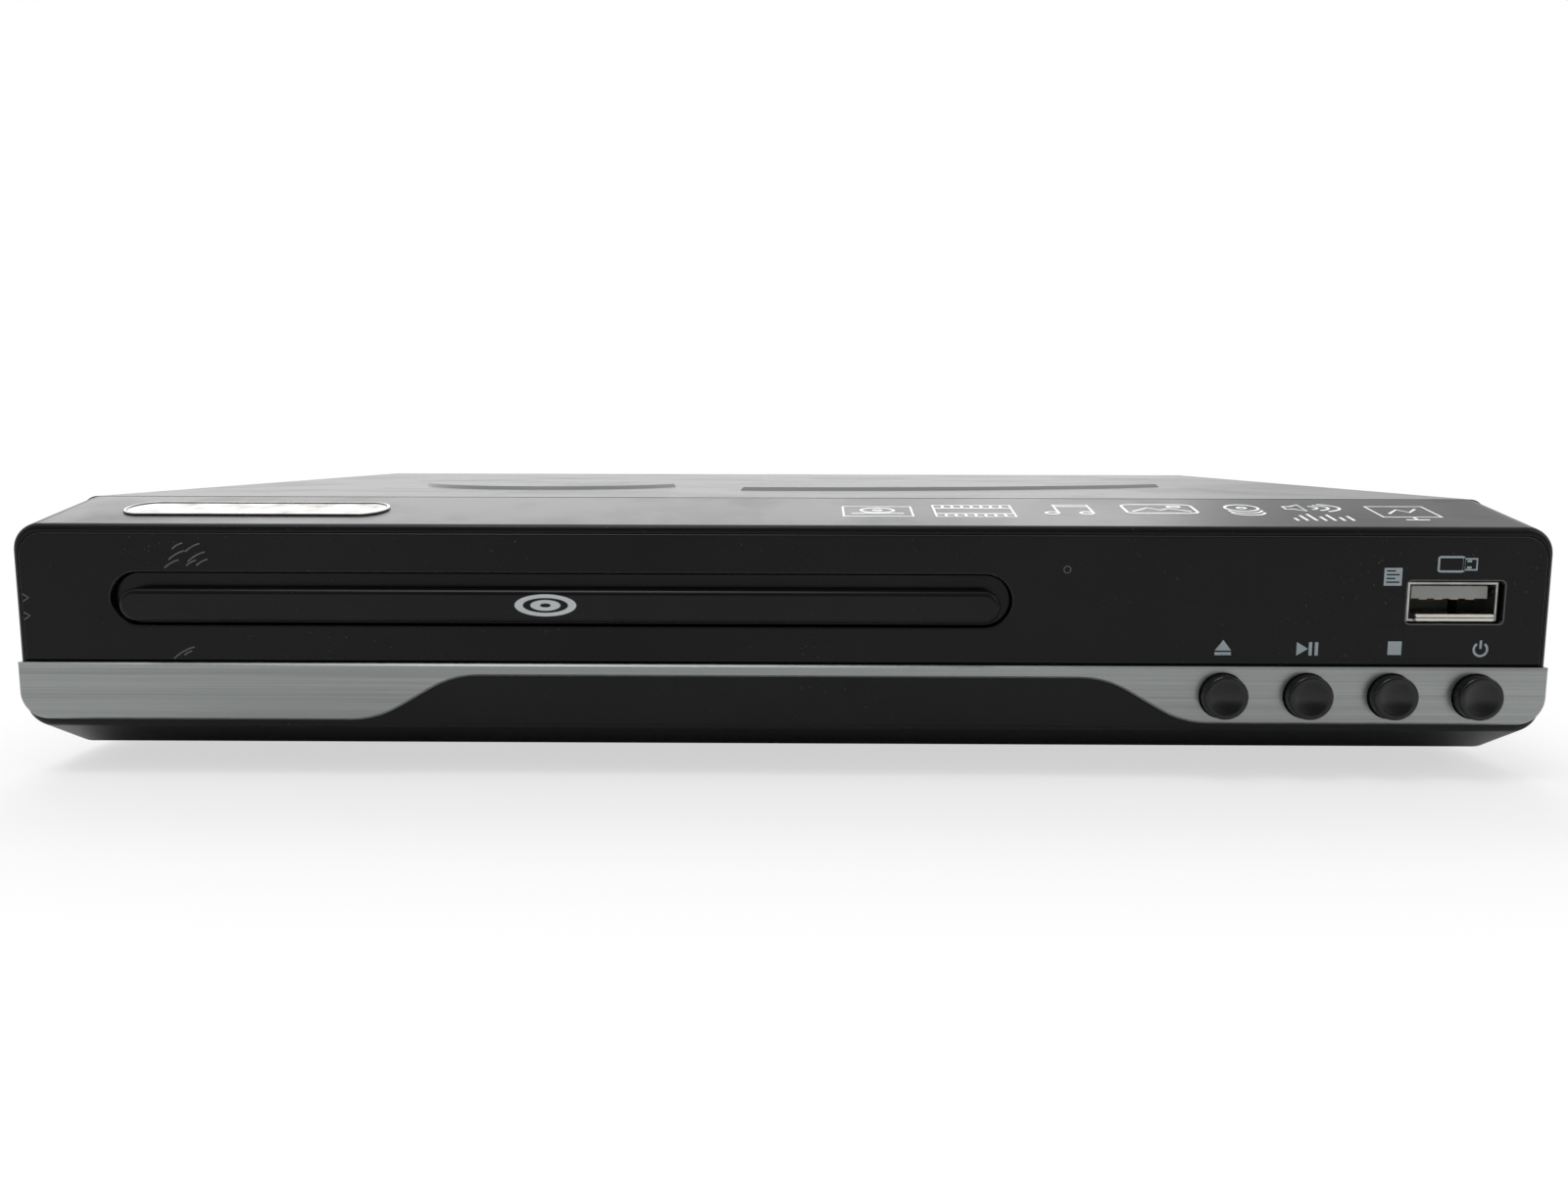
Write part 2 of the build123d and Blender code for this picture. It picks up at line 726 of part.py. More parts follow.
puck_low = tray_high + puck_gap
puck_seat = frame_high + steel + 0.2
with BuildPart() as clamp_puck:
    with BuildSketch(side_on(loader_x)):
        with BuildLine():
            Polyline(
                (disc_depth, puck_low),
                (disc_depth + puck_radius, puck_low),
                (disc_depth + puck_radius, puck_seat),
                (disc_depth + puck_flange_radius, puck_seat),
                (disc_depth + puck_flange_radius, puck_seat + 1),
                (disc_depth + 8, puck_seat + 1),
                (disc_depth + 7.4, puck_seat + 2.6),
                (disc_depth, puck_seat + 2.6),
                close=True,
            )
        make_face()
    revolve(axis=Axis((loader_x, front_y + disc_depth, 0), (0, 0, 1)))
save(clamp_puck, "clamp_puck")


# ---- Gears, rack and belt ------------------------------------------------------------------------
def involute_half_angle(radius, module, teeth):
    """Half the angle that a tooth fills at a radius, with an involute flank."""
    pitch = module * teeth / 2
    base = pitch * math.cos(math.radians(pressure_angle))

    def spread(r):
        angle = math.acos(min(1.0, base / r))
        return math.tan(angle) - angle

    half_at_pitch = math.pi / (2 * teeth) - tooth_backlash / (2 * pitch)
    return half_at_pitch + spread(pitch) - spread(max(radius, base))


def gear_face_outline(module, teeth, first_angle):
    """Draws a spur gear about the sketch's origin, one tooth centred on first_angle in radians."""
    pitch = module * teeth / 2
    steps = (-1.25, -0.45, 0, 0.5, 0.95)
    radii = [pitch + step * module for step in steps]
    points = []
    for i in range(teeth):
        middle = first_angle + 2 * math.pi * i / teeth
        flank = [(r, involute_half_angle(r, module, teeth)) for r in radii]
        points += [(r * math.cos(middle - a), r * math.sin(middle - a)) for r, a in flank]
        points += [(r * math.cos(middle + a), r * math.sin(middle + a)) for r, a in reversed(flank)]
    with BuildLine() as outline:
        Polyline(*points, close=True)
    make_face(outline.edges())


def at_axis(x, depth, height):
    """A level plane whose origin is on an upright axis."""
    return Plane(origin=(x, front_y + depth, height), x_dir=(1, 0, 0), z_dir=(0, 0, 1))


bore_radius = post_radius + running_gap
pinion_low = tray_low + 0.2
pinion_high = tray_high - small_recess_depth - 0.35
with BuildPart() as drive_gear:
    with BuildSketch(at_axis(pinion_x, pinion_depth, gear_low)):
        gear_face_outline(wheel_module, wheel_teeth, math.pi)
    extrude(amount=gear_face)
    with BuildSketch(at_axis(pinion_x, pinion_depth, gear_high)):
        Circle(post_radius + 1.1)
    extrude(amount=pinion_low - gear_high)
    with BuildSketch(at_axis(pinion_x, pinion_depth, pinion_low)):
        gear_face_outline(rack_module, pinion_teeth, math.pi / pinion_teeth)
    extrude(amount=pinion_high - pinion_low)
    post(pinion_x, pinion_depth, (gear_low - 1, pinion_high + 1), bore_radius, mode=Mode.SUBTRACT)
save(drive_gear, "drive_gear")

groove_low = pulley_low + 0.6
groove_high = pulley_high - 0.6
groove_bottom = pulley_radius - groove_depth
with BuildPart() as pulley_gear:
    with BuildSketch(at_axis(pulley_x, pinion_depth, gear_low)):
        gear_face_outline(wheel_module, small_wheel_teeth, math.pi / small_wheel_teeth)
    extrude(amount=pulley_low - gear_low)
    with BuildSketch(side_on(pulley_x)):
        with BuildLine():
            Polyline(
                (pinion_depth + bore_radius, pulley_low),
                (pinion_depth + pulley_radius, pulley_low),
                (pinion_depth + pulley_radius, groove_low),
                (pinion_depth + groove_bottom, groove_low),
                (pinion_depth + groove_bottom, groove_high),
                (pinion_depth + pulley_radius, groove_high),
                (pinion_depth + pulley_radius, pulley_high),
                (pinion_depth + bore_radius, pulley_high),
                close=True,
            )
        make_face()
    revolve(axis=Axis((pulley_x, front_y + pinion_depth, 0), (0, 0, 1)))
    post(pulley_x, pinion_depth, (gear_low - 1, pulley_high + 1), bore_radius, mode=Mode.SUBTRACT)
save(pulley_gear, "pulley_gear")

motor_groove = motor_pulley_radius - groove_depth
with BuildPart() as motor_pulley:
    with BuildSketch(side_on(motor_x)):
        with BuildLine():
            Polyline(
                (motor_depth, plate_low - 6),
                (motor_depth + motor_shaft_radius, plate_low - 6),
                (motor_depth + motor_shaft_radius, pulley_low - 1.2),
                (motor_depth + motor_pulley_radius - 1, pulley_low - 1.2),
                (motor_depth + motor_pulley_radius, pulley_low),
                (motor_depth + motor_pulley_radius, groove_low),
                (motor_depth + motor_groove, groove_low),
                (motor_depth + motor_groove, groove_high),
                (motor_depth + motor_pulley_radius, groove_high),
                (motor_depth + motor_pulley_radius, pulley_high),
                (motor_depth, pulley_high),
                close=True,
            )
        make_face()
    revolve(axis=Axis((motor_x, front_y + motor_depth, 0), (0, 0, 1)))
save(motor_pulley, "motor_pulley")

with BuildPart() as loading_motor:
    post(motor_x, motor_depth, (plate_low - motor_can_height, plate_low), motor_can_radius)
    chamfer(loading_motor.edges().filter_by(GeomType.CIRCLE).group_by(Axis.Z)[0], length=1)
    post(motor_x, motor_depth, (plate_low - 0.1, plate_low + 0.9), 3)
    shaft_hole = motor_shaft_radius + running_gap
    post(motor_x, motor_depth, (plate_low - 6.5, plate_low + 1.5), shaft_hole, mode=Mode.SUBTRACT)
save(loading_motor, "loading_motor")


def belt_outline(extra):
    """The straight-sided loop round both pulleys, a given distance outside their grooves."""
    with BuildSketch(mode=Mode.PRIVATE) as wheels:
        with Locations((motor_x, motor_depth)):
            Circle(motor_groove + extra)
        with Locations((pulley_x, pinion_depth)):
            Circle(groove_bottom + extra)
    return wheels.sketch.edges()


belt_low = (groove_low + groove_high - belt_size) / 2
with BuildPart() as drive_belt:
    with BuildSketch(level(belt_low)):
        make_hull(belt_outline(belt_gap + belt_size))
        make_hull(belt_outline(belt_gap), mode=Mode.SUBTRACT)
    extrude(amount=belt_size)
save(drive_belt, "drive_belt")

# ---- Disc tray -----------------------------------------------------------------------------------
tray_left, tray_right = loader_x - tray_half, loader_x + tray_half
recess_z = tray_high - disc_recess_depth
small_recess_z = tray_high - small_recess_depth
cavity_high = recess_z - tray_floor
with BuildPart() as disc_tray:
    with BuildSketch(level(tray_low)):
        with BuildLine():
            FilletPolyline(
                (tray_left, tray_start),
                (tray_left, tray_end),
                (tray_right, tray_end),
                (tray_right, tray_start),
                radius=[1, 6, 6, 1],
                close=True,
            )
        make_face()
    extrude(amount=tray_height)
    # The underside is hollow, with a long channel for the pinion beside the rack wall.
    wall = 2.2
    hollow = (tray_low - 1, cavity_high)
    block((tray_left + wall, rack_root), (tray_start + wall, tray_end - wall), hollow, Mode.SUBTRACT)
    block((channel_left, rack_root), (tray_end - wall - 1, tray_end + 1), hollow, Mode.SUBTRACT)
    cup_radius = small_recess_radius + tray_floor
    post(loader_x, disc_depth, (small_recess_z - tray_floor, cavity_high + 0.2), cup_radius)
    # Recesses for the two sizes of disc, and scoops for the fingers.
    post(loader_x, disc_depth, (recess_z, tray_high + 1), recess_radius, mode=Mode.SUBTRACT)
    post(loader_x, disc_depth, (small_recess_z, tray_high + 1), small_recess_radius, mode=Mode.SUBTRACT)
    for angle in (45, 135, 225, 315):
        reach = recess_radius - 1
        x = loader_x + reach * math.cos(math.radians(angle))
        d = disc_depth + reach * math.sin(math.radians(angle))
        if abs(x - loader_x) + finger_radius < tray_half - 0.8:
            post(x, d, (recess_z, tray_high + 1), finger_radius, mode=Mode.SUBTRACT)
    # The keyhole for the turntable and pickup is open to the back.
    with BuildSketch(level(tray_low - 1)):
        with Locations((loader_x, disc_depth)):
            Circle(keyhole_radius)
        with Locations((loader_x, (disc_depth + tray_end + 5) / 2)):
            Rectangle(2 * keyhole_radius, tray_end + 5 - disc_depth)
    extrude(amount=tray_height + 2, mode=Mode.SUBTRACT)
    # Slots for the door's hooks.
    for x in hook_xs:
        low, high = hook_heights
        tab_depth = (tray_start - 1, tray_start + wall + 1)
        block((x - 4.2, x + 4.2), tab_depth, (low - 0.1, high + 0.1), Mode.SUBTRACT)
    # Rack teeth, straight-flanked, with one tooth centred on the pinion.
    pitch = math.pi * rack_module
    lean = math.tan(math.radians(pressure_angle))
    tip, root = 0.95 * rack_module, 1.25 * rack_module
    half_tip = pitch / 4 - tooth_backlash / 2 - tip * lean
    half_root = pitch / 4 - tooth_backlash / 2 + root * lean
    first = -math.floor((pinion_depth - tray_start - wall - half_root) / pitch)
    last = math.floor((tray_end - 1 - pinion_depth) / pitch)
    with BuildSketch(level(pinion_low - 0.1)):
        for i in range(first, last + 1):
            d = pinion_depth + i * pitch
            with BuildLine():
                Polyline(
                    (rack_root + 0.2, d - half_root),
                    (rack_root, d - half_root),
                    (rack_line - tip, d - half_tip),
                    (rack_line - tip, d + half_tip),
                    (rack_root, d + half_root),
                    (rack_root + 0.2, d + half_root),
                    close=True,
                )
            make_face()
    extrude(amount=pinion_high + 0.1 - pinion_low)
save(disc_tray, "disc_tray")

# ---- Lifting frame, cam slider and pickup deck ---------------------------------------------------
half_width = lift_frame_width / 2
lug_spots = [(loader_x + sx * lug_reach, d) for sx in (-1, 1) for d in (lift_start + 10.0, lift_end - 9.0)]
with BuildPart() as lift_frame:
    with BuildSketch(level(lift_low)):
        with Locations((loader_x, (lift_start + lift_end) / 2)):
            Rectangle(lift_frame_width, lift_end - lift_start)
            inner_width = lift_frame_width - 2 * lift_frame_rail
            inner_length = lift_end - lift_start - 2 * lift_frame_rail
            Rectangle(inner_width, inner_length, mode=Mode.SUBTRACT)
    extrude(amount=lift_frame_height)
    for x, d in lug_spots:
        toward = 1 if x > loader_x else -1
        xs = sorted((x - toward * lug_half, loader_x + toward * (half_width - lift_frame_rail + 0.2)))
        rear = d > disc_depth
        ds = (d - lug_half, lift_end - 1) if rear else (lift_start + 1, d + lug_half)
        block(xs, ds, (lift_low, grommet_low))
        post(x, d, (lift_low - 1, grommet_low + 1), screw_radius + 0.1, mode=Mode.SUBTRACT)
    with BuildSketch(side_on(loader_x - bay_half - 4)):
        with Locations((hinge_depth, hinge_z)):
            Circle(post_radius)
    extrude(amount=bay_half + 4 - half_width + 1)
    with BuildSketch(side_on(loader_x + half_width - 1)):
        with Locations((hinge_depth, hinge_z)):
            Circle(post_radius)
    extrude(amount=bay_half + 4 - half_width + 1)
    peg(loader_x, cam_pin_z, (cam_face - 0.4, lift_start + 1), cam_pin_radius)
save(lift_frame, "lift_frame")

cam_left, cam_right = loader_x - 34.0, loader_x + 26.0
cam_slot = 2 * (cam_pin_radius + cam_play)
cam_angle = math.degrees(math.atan2(pin_drop, cam_stroke))
with BuildPart() as cam_slider:
    with BuildSketch(upright(cam_back)):
        with BuildLine():
            Polyline(
                (cam_left + 8, cam_pin_z - pin_drop - 3.4),
                (cam_left + 8, plate_top + 1.6),
                (cam_right, plate_top + 1.6),
                (cam_right, cam_pin_z - 3.4),
                (cam_right - 12, cam_pin_z - pin_drop - 3.4),
                close=True,
            )
        make_face()
        slot_middle = (loader_x - cam_stroke / 2, cam_pin_z - pin_drop / 2)
        slot_length = math.hypot(cam_stroke, pin_drop) + cam_slot + 0.6
        with Locations(slot_middle):
            SlotOverall(slot_length, cam_slot, rotation=cam_angle, mode=Mode.SUBTRACT)
    extrude(amount=cam_back - cam_face)
    block((cam_left, cam_right), (bay_start - 6, cam_back), (plate_top + seat_gap, plate_top + 1.6))
save(cam_slider, "cam_slider")

opening_half = rod_spacing / 2 - 1.6
opening_start = sled_front - 1.0
opening_end = sled_front + sled_length + sled_travel + 1.5
screw_x = loader_x + screw_offset
rod_xs = [loader_x - rod_spacing / 2, loader_x + rod_spacing / 2]
tab_depths = [opening_start - 0.8 - steel, opening_end + 0.5]
with BuildPart() as deck_plate:
    with BuildSketch(level(deck_low)):
        with Locations((loader_x, (deck_start + deck_end) / 2)):
            RectangleRounded(deck_width, deck_end - deck_start, 3)
        with Locations((loader_x, (opening_start + opening_end) / 2)):
            Rectangle(2 * opening_half, opening_end - opening_start, mode=Mode.SUBTRACT)
        with Locations((loader_x, disc_depth)):
            Circle(5, mode=Mode.SUBTRACT)
        with Locations((screw_x, opening_start - 2.5 - sled_motor_length / 2)):
            Rectangle(2 * sled_motor_radius + 1, sled_motor_length + 1, mode=Mode.SUBTRACT)
        with Locations(*lug_spots):
            Circle(screw_radius + 0.1, mode=Mode.SUBTRACT)
    extrude(amount=steel)
    # Bent-down tabs that carry the guide rods and the lead screw.
    for depth in tab_depths:
        for xs in ((rod_xs[0] - 3.5, rod_xs[0] + 3.5), (rod_xs[1] - 3.5, screw_x + 3.5)):
            block(xs, (depth, depth + steel), (rod_z - 2.6, deck_low + 0.2))
    with BuildSketch(upright(tab_depths[1] + steel + 1)):
        with Locations(*[(x, rod_z) for x in rod_xs + [screw_x]]):
            Circle(rod_radius + running_gap)
    extrude(amount=tab_depths[1] - tab_depths[0] + steel + 2, mode=Mode.SUBTRACT)
save(deck_plate, "deck_plate")

with BuildPart() as deck_grommets:
    for x, d in lug_spots:
        post(x, d, (grommet_low, deck_low), grommet_radius)
        post(x, d, (grommet_low - 1, deck_low + 1), screw_radius + 0.1, mode=Mode.SUBTRACT)
save(deck_grommets, "deck_grommets")

with BuildPart() as deck_screws:
    for x, d in lug_spots:
        pan_screw(x, d, deck_high, deck_high - lift_low - 0.5)
save(deck_screws, "deck_screws")

with BuildPart() as guide_rods:
    for x in rod_xs:
        peg(x, rod_z, (tab_depths[0] - 1.5, tab_depths[1] + steel + 1), rod_radius)
save(guide_rods, "guide_rods")

motor_end = tab_depths[0]
with BuildPart() as sled_motor:
    peg(screw_x, rod_z, (motor_end - sled_motor_length, motor_end), sled_motor_radius)
    peg(screw_x, rod_z, (motor_end - 4, motor_end + 0.1), rod_radius + running_gap, mode=Mode.SUBTRACT)
save(sled_motor, "sled_motor")

with BuildPart() as lead_screw:
    peg(screw_x, rod_z, (motor_end - 3.5, tab_depths[1] + steel + 1), rod_radius)
save(lead_screw, "lead_screw")

with BuildPart() as spindle_motor:
    post(loader_x, disc_depth, (deck_low - spindle_can_height, deck_low), spindle_can_radius)
    chamfer(spindle_motor.edges().filter_by(GeomType.CIRCLE).group_by(Axis.Z)[0], length=0.8)
    post(loader_x, disc_depth, (deck_low - 0.1, deck_high + 0.3), 4)
    shaft_hole = spindle_shaft_radius + running_gap
    post(loader_x, disc_depth, (deck_low - 5, deck_high + 1), shaft_hole, mode=Mode.SUBTRACT)
save(spindle_motor, "spindle_motor")

with BuildPart() as turntable:
    with BuildSketch(side_on(loader_x)):
        with BuildLine():
            Polyline(
                (disc_depth, deck_low - 4.5),
                (disc_depth + spindle_shaft_radius, deck_low - 4.5),
                (disc_depth + spindle_shaft_radius, deck_high + 0.8),
                (disc_depth + 4, deck_high + 0.8),
                (disc_depth + 4, table_high - turntable_thickness),
                (disc_depth + turntable_radius, table_high - turntable_thickness),
                (disc_depth + turntable_radius, table_high),
                (disc_depth + hub_radius, table_high),
                (disc_depth + hub_radius, table_high + hub_height * 0.5),
                (disc_depth + hub_radius - 1.2, table_high + hub_height),
                (disc_depth, table_high + hub_height),
                close=True,
            )
        make_face()
    revolve(axis=Axis((loader_x, front_y + disc_depth, 0), (0, 0, 1)))
save(turntable, "turntable")

sled_back = sled_front + sled_length
optics_high = deck_high + 5.0
lens_depth = sled_front + 7.0
with BuildPart() as pickup_sled:
    block((rod_xs[0] - 3, rod_xs[1] + 3), (sled_front, sled_back), (rod_z - 2.6, deck_low - 0.3))
    block((loader_x - 16, loader_x + 16), (sled_front, sled_back), (deck_low - 0.5, optics_high))
    fillet(pickup_sled.edges().filter_by(Axis.Z).filter_by(lambda e: e.center().Z > deck_high), radius=2)
    nut_xs = (rod_xs[1] + 2.8, screw_x - rod_radius - 0.3)
    block(nut_xs, (sled_front + 5, sled_front + 13), (rod_z - 1.5, deck_low - 0.3))
    for x in rod_xs:
        peg(x, rod_z, (sled_front - 1, sled_back + 1), rod_radius + running_gap, mode=Mode.SUBTRACT)
    post(loader_x, lens_depth, (optics_high - 2, optics_high + 1), 5.5, mode=Mode.SUBTRACT)
save(pickup_sled, "pickup_sled")

dome_rim, dome_rise = 2.6, 0.8
dome_radius = (dome_rim**2 + dome_rise**2) / (2 * dome_rise)
dome_half = math.asin(dome_rim / dome_radius) / 2
dome_high = optics_high + 0.6 + dome_rise
with BuildPart() as pickup_lens:
    with BuildSketch(side_on(loader_x)):
        with BuildLine():
            Polyline(
                (lens_depth, dome_high),
                (lens_depth, optics_high - 2),
                (lens_depth + 4.2, optics_high - 2),
                (lens_depth + 4.2, dome_high - dome_rise),
                (lens_depth + dome_rim, dome_high - dome_rise),
            )
            middle = (
                lens_depth + dome_radius * math.sin(dome_half),
                dome_high - dome_radius * (1 - math.cos(dome_half)),
            )
            ThreePointArc((lens_depth + dome_rim, dome_high - dome_rise), middle, (lens_depth, dome_high))
        make_face()
    revolve(axis=Axis((loader_x, front_y + lens_depth, 0), (0, 0, 1)))
save(pickup_lens, "pickup_lens")

# ---- Chassis, cover and rear panel ---------------------------------------------------------------
foot_spots = [
    (sx * (case_right - foot_inset_x), d) for sx in (-1, 1) for d in (foot_front, case_depth - foot_back)
]
main_spots = [(x, d) for x in (board_left + 3.5, main_right - 3.5) for d in (main_start + 4, board_end - 16)]
power_columns = (power_left + 3.5, board_right - 3.5)
power_spots = [(x, d) for x in power_columns for d in (power_start + 4, board_end - 20)]
with BuildPart() as bottom_chassis:
    with BuildSketch(level(foot_height)):
        with Locations((0, (cover_start + rear_panel_front) / 2)):
            Rectangle(2 * chassis_half, rear_panel_front - cover_start)
        with Locations(*leg_spots):
            Circle(screw_radius + 0.1, mode=Mode.SUBTRACT)
        # Ventilation slots under the boards and under the deck.
        with Locations(((power_left + main_right) / 2, (power_start + board_end) / 2)):
            with GridLocations(18, 9, 3, 9):
                SlotOverall(11, 2.6, mode=Mode.SUBTRACT)
    extrude(amount=sheet)
    for side in (-1, 1):
        xs = sorted((side * chassis_half, side * (chassis_half - sheet)))
        block(xs, (cover_start, rear_panel_front), (foot_height, floor_top + 11))
    for x, d in main_spots + power_spots:
        post(x, d, (floor_top - 0.2, board_low), 3)
        post(x, d, (floor_top, board_low + 1), 1.2, mode=Mode.SUBTRACT)
save(bottom_chassis, "bottom_chassis")

with BuildPart() as rubber_feet:
    for x, d in foot_spots:
        with BuildSketch(at_axis(x, d, 0)):
            Circle(foot_radius)
        extrude(amount=foot_height)
    chamfer(rubber_feet.edges().filter_by(GeomType.CIRCLE).group_by(Axis.Z)[0], length=0.5)
save(rubber_feet, "rubber_feet")


def arch_outline(half, low, high, bend, mode=Mode.ADD):
    """A sheet's outline seen from the front: a rectangle with its two top corners bent."""
    points = [(-half, low), (-half, high), (half, high), (half, low)]
    with BuildLine() as outline:
        FilletPolyline(*points, radius=[0, bend, bend, 0], close=True)
    make_face(outline.edges(), mode=mode)


def leaf(tips, near, far):
    """A leaf outline: two arcs that share their tips, one bowed to the front and one to the back."""
    start, end = tips
    with BuildLine() as outline:
        ThreePointArc(start, near, end)
        ThreePointArc(end, far, start)
    make_face(outline.edges())


side_screw_z = cover_inner - 6.0
tab_screw_xs = [share * case_right for share in (-0.62, 0, 0.8)]
with BuildPart() as top_cover:
    with BuildSketch(upright(rear_panel_back)):
        arch_outline(cover_half, cover_low, cover_high, cover_bend)
        arch_outline(cover_half - sheet, cover_low - 1, cover_inner, cover_bend - sheet, Mode.SUBTRACT)
    extrude(amount=rear_panel_back - cover_start)
    # Two raised leaves behind the front edge.
    with BuildSketch(level(cover_high - 0.2)):
        leaf(((-73, 73), (-21, 62)), (-44, 47), (-46, 76))
        leaf(((-8, 46), (76, 68)), (40, 51), (30, 70))
    extrude(amount=emboss_height + 0.2, taper=30)
    # Tabs folded down over the rear panel for the screws.
    for x in tab_screw_xs:
        block((x - 6, x + 6), (rear_panel_back, case_depth), (side_screw_z - 4.5, cover_high))
        peg(x, side_screw_z, (rear_panel_back - 1, case_depth + 1), screw_radius + 0.1, mode=Mode.SUBTRACT)
    # Ventilation slots in both sides.
    with BuildSketch(side_on(-cover_half - 1)):
        with Locations((disc_depth + 40, (cover_low + cover_high) / 2 + 2)):
            with GridLocations(6, 1, 9, 1):
                SlotOverall(14, 2.4, rotation=90)
    extrude(amount=2 * cover_half + 2, mode=Mode.SUBTRACT)
save(top_cover, "top_cover")

jack_spots = [
    (jack_x + (c - (jack_columns - 1) / 2) * jack_pitch_x, jack_z + jack_radius + r * jack_pitch_z)
    for r in range(jack_rows)
    for c in range(jack_columns)
]
inlet_half = inlet_width / 2
rear_cut = (inlet_width + 0.4, inlet_height + 0.4)
jack_screw_z = jack_spots[0][1] + jack_pitch_z / 2
jack_screw_spots = [(jack_x + side * jack_pitch_x / 2, jack_screw_z) for side in (-1, 1)]
with BuildPart() as rear_panel:
    with BuildSketch(upright(rear_panel_back)):
        rear_high = cover_inner - seat_gap
        arch_outline(chassis_half, foot_height, rear_high, cover_bend)
        with Locations(*jack_spots):
            Circle(jack_radius + 0.3, mode=Mode.SUBTRACT)
        with Locations((inlet_x, inlet_z)):
            Rectangle(*rear_cut, mode=Mode.SUBTRACT)
        with Locations(*[(x, side_screw_z) for x in tab_screw_xs]):
            Circle(1.2, mode=Mode.SUBTRACT)
        with Locations(*jack_screw_spots):
            Circle(1.2, mode=Mode.SUBTRACT)
        with Locations((loader_x, (foot_height + cover_inner) / 2)):
            with GridLocations(7, 1, 12, 1):
                SlotOverall(16, 2.6, rotation=90, mode=Mode.SUBTRACT)
    extrude(amount=sheet)
    fold_half = chassis_half - 2 * cover_bend
    flange_depth = (rear_panel_front - 7, rear_panel_front + 0.1)
    block((-fold_half, fold_half), flange_depth, (rear_high - sheet, rear_high))
save(rear_panel, "rear_panel")

# ---- Rear sockets --------------------------------------------------------------------------------
block_start = rear_panel_front - jack_block_depth
with BuildPart() as jack_block:
    half = jack_columns * jack_pitch_x / 2
    block_high = jack_spots[-1][1] + jack_radius + 1.5
    block((jack_x - half, jack_x + half), (block_start, rear_panel_front), (board_high, block_high))
    with BuildSketch(upright(rear_panel_front + 1)):
        with Locations(*jack_spots):
            Circle(jack_radius - jack_wall)
        with Locations(*jack_screw_spots):
            Circle(1.2)
    extrude(amount=jack_block_depth + 2, mode=Mode.SUBTRACT)
save(jack_block, "jack_block")

insert_start = rear_panel_front - 3.0
with BuildPart() as jack_shells:
    with BuildSketch(upright(jack_end)):
        with Locations(*jack_spots):
            Circle(jack_radius)
            Circle(jack_radius - jack_wall, mode=Mode.SUBTRACT)
    extrude(amount=jack_end - rear_panel_front)
save(jack_shells, "jack_shells")

with BuildPart() as jack_inserts:
    with BuildSketch(upright(jack_end - 0.4)):
        with Locations(*jack_spots):
            Circle(jack_radius - jack_wall - running_gap)
            Circle(jack_bore_radius, mode=Mode.SUBTRACT)
    extrude(amount=jack_end - 0.4 - insert_start)
save(jack_inserts, "jack_inserts")


def figure_eight(width, height):
    """The inlet's cavity: two round ends joined by a narrower waist."""
    reach = (width - height) / 2
    with Locations((inlet_x - reach, inlet_z), (inlet_x + reach, inlet_z)):
        Circle(height / 2)
    with Locations((inlet_x, inlet_z)):
        Rectangle(2 * reach, height * 0.86)


inlet_end = rear_panel_back + 1.0
cavity_start = inlet_end - inlet_cavity_depth
with BuildPart() as mains_inlet:
    inlet_xs = (inlet_x - inlet_half, inlet_x + inlet_half)
    block(inlet_xs, (cavity_start - 3, inlet_end), (board_high, inlet_z + inlet_height / 2))
    with BuildSketch(upright(inlet_end)):
        with Locations((inlet_x, inlet_z)):
            RectangleRounded(inlet_width + 3, inlet_height + 3, 1.5)
    extrude(amount=inlet_end - rear_panel_back)
    with BuildSketch(upright(inlet_end + 1)):
        figure_eight(inlet_cavity_width, inlet_cavity_height)
    extrude(amount=inlet_cavity_depth + 1, mode=Mode.SUBTRACT)
save(mains_inlet, "mains_inlet")

with BuildPart() as inlet_pins:
    for side in (-1, 1):
        peg(inlet_x + side * inlet_pin_pitch / 2, inlet_z, (cavity_start, inlet_end - 1), inlet_pin_radius)
save(inlet_pins, "inlet_pins")

with BuildPart() as case_screws:
    for x in tab_screw_xs:
        peg(x, side_screw_z, (case_depth, case_depth + 1.8), screw_head_radius)
        peg(x, side_screw_z, (rear_panel_front - 3, case_depth + 0.1), 1.15)
    for x, z in jack_screw_spots:
        peg(x, z, (rear_panel_back, rear_panel_back + 1.4), 2.3)
        peg(x, z, (rear_panel_front - 5, rear_panel_back + 0.1), 1.15)
save(case_screws, "case_screws")

# ---- Boards and what stands on them --------------------------------------------------------------
with BuildPart() as main_board:
    with BuildSketch(level(board_low)):
        with Locations(((board_left + main_right) / 2, (main_start + board_end) / 2)):
            Rectangle(main_right - board_left, board_end - main_start)
        with Locations(*main_spots):
            Circle(screw_radius, mode=Mode.SUBTRACT)
    extrude(amount=board_thickness)
save(main_board, "main_board")

with BuildPart() as power_board:
    with BuildSketch(level(board_low)):
        with Locations(((power_left + board_right) / 2, (power_start + board_end) / 2)):
            Rectangle(power_board_width, board_end - power_start)
        with Locations(*power_spots):
            Circle(screw_radius, mode=Mode.SUBTRACT)
    extrude(amount=board_thickness)
save(power_board, "power_board")


def chip(x, depth, width, length, height):
    """Adds a flat chip body that sits on a board."""
    depths = (depth - length / 2, depth + length / 2)
    block((x - width / 2, x + width / 2), depths, (board_high, board_high + height))


main_x = (board_left + main_right) / 2
link_depth = disc_depth + 34
with BuildPart() as board_chips:
    chip(main_x - 4, link_depth, 20, 20, 1.6)
    chip(main_x - 11, disc_depth + 10, 10.2, 22, 1.2)
    chip(main_x + 11, disc_depth + 10, 6, 5, 1.5)
    chip(main_x - 2, disc_depth - 8, 16, 7.5, 2.3)
save(board_chips, "board_chips")

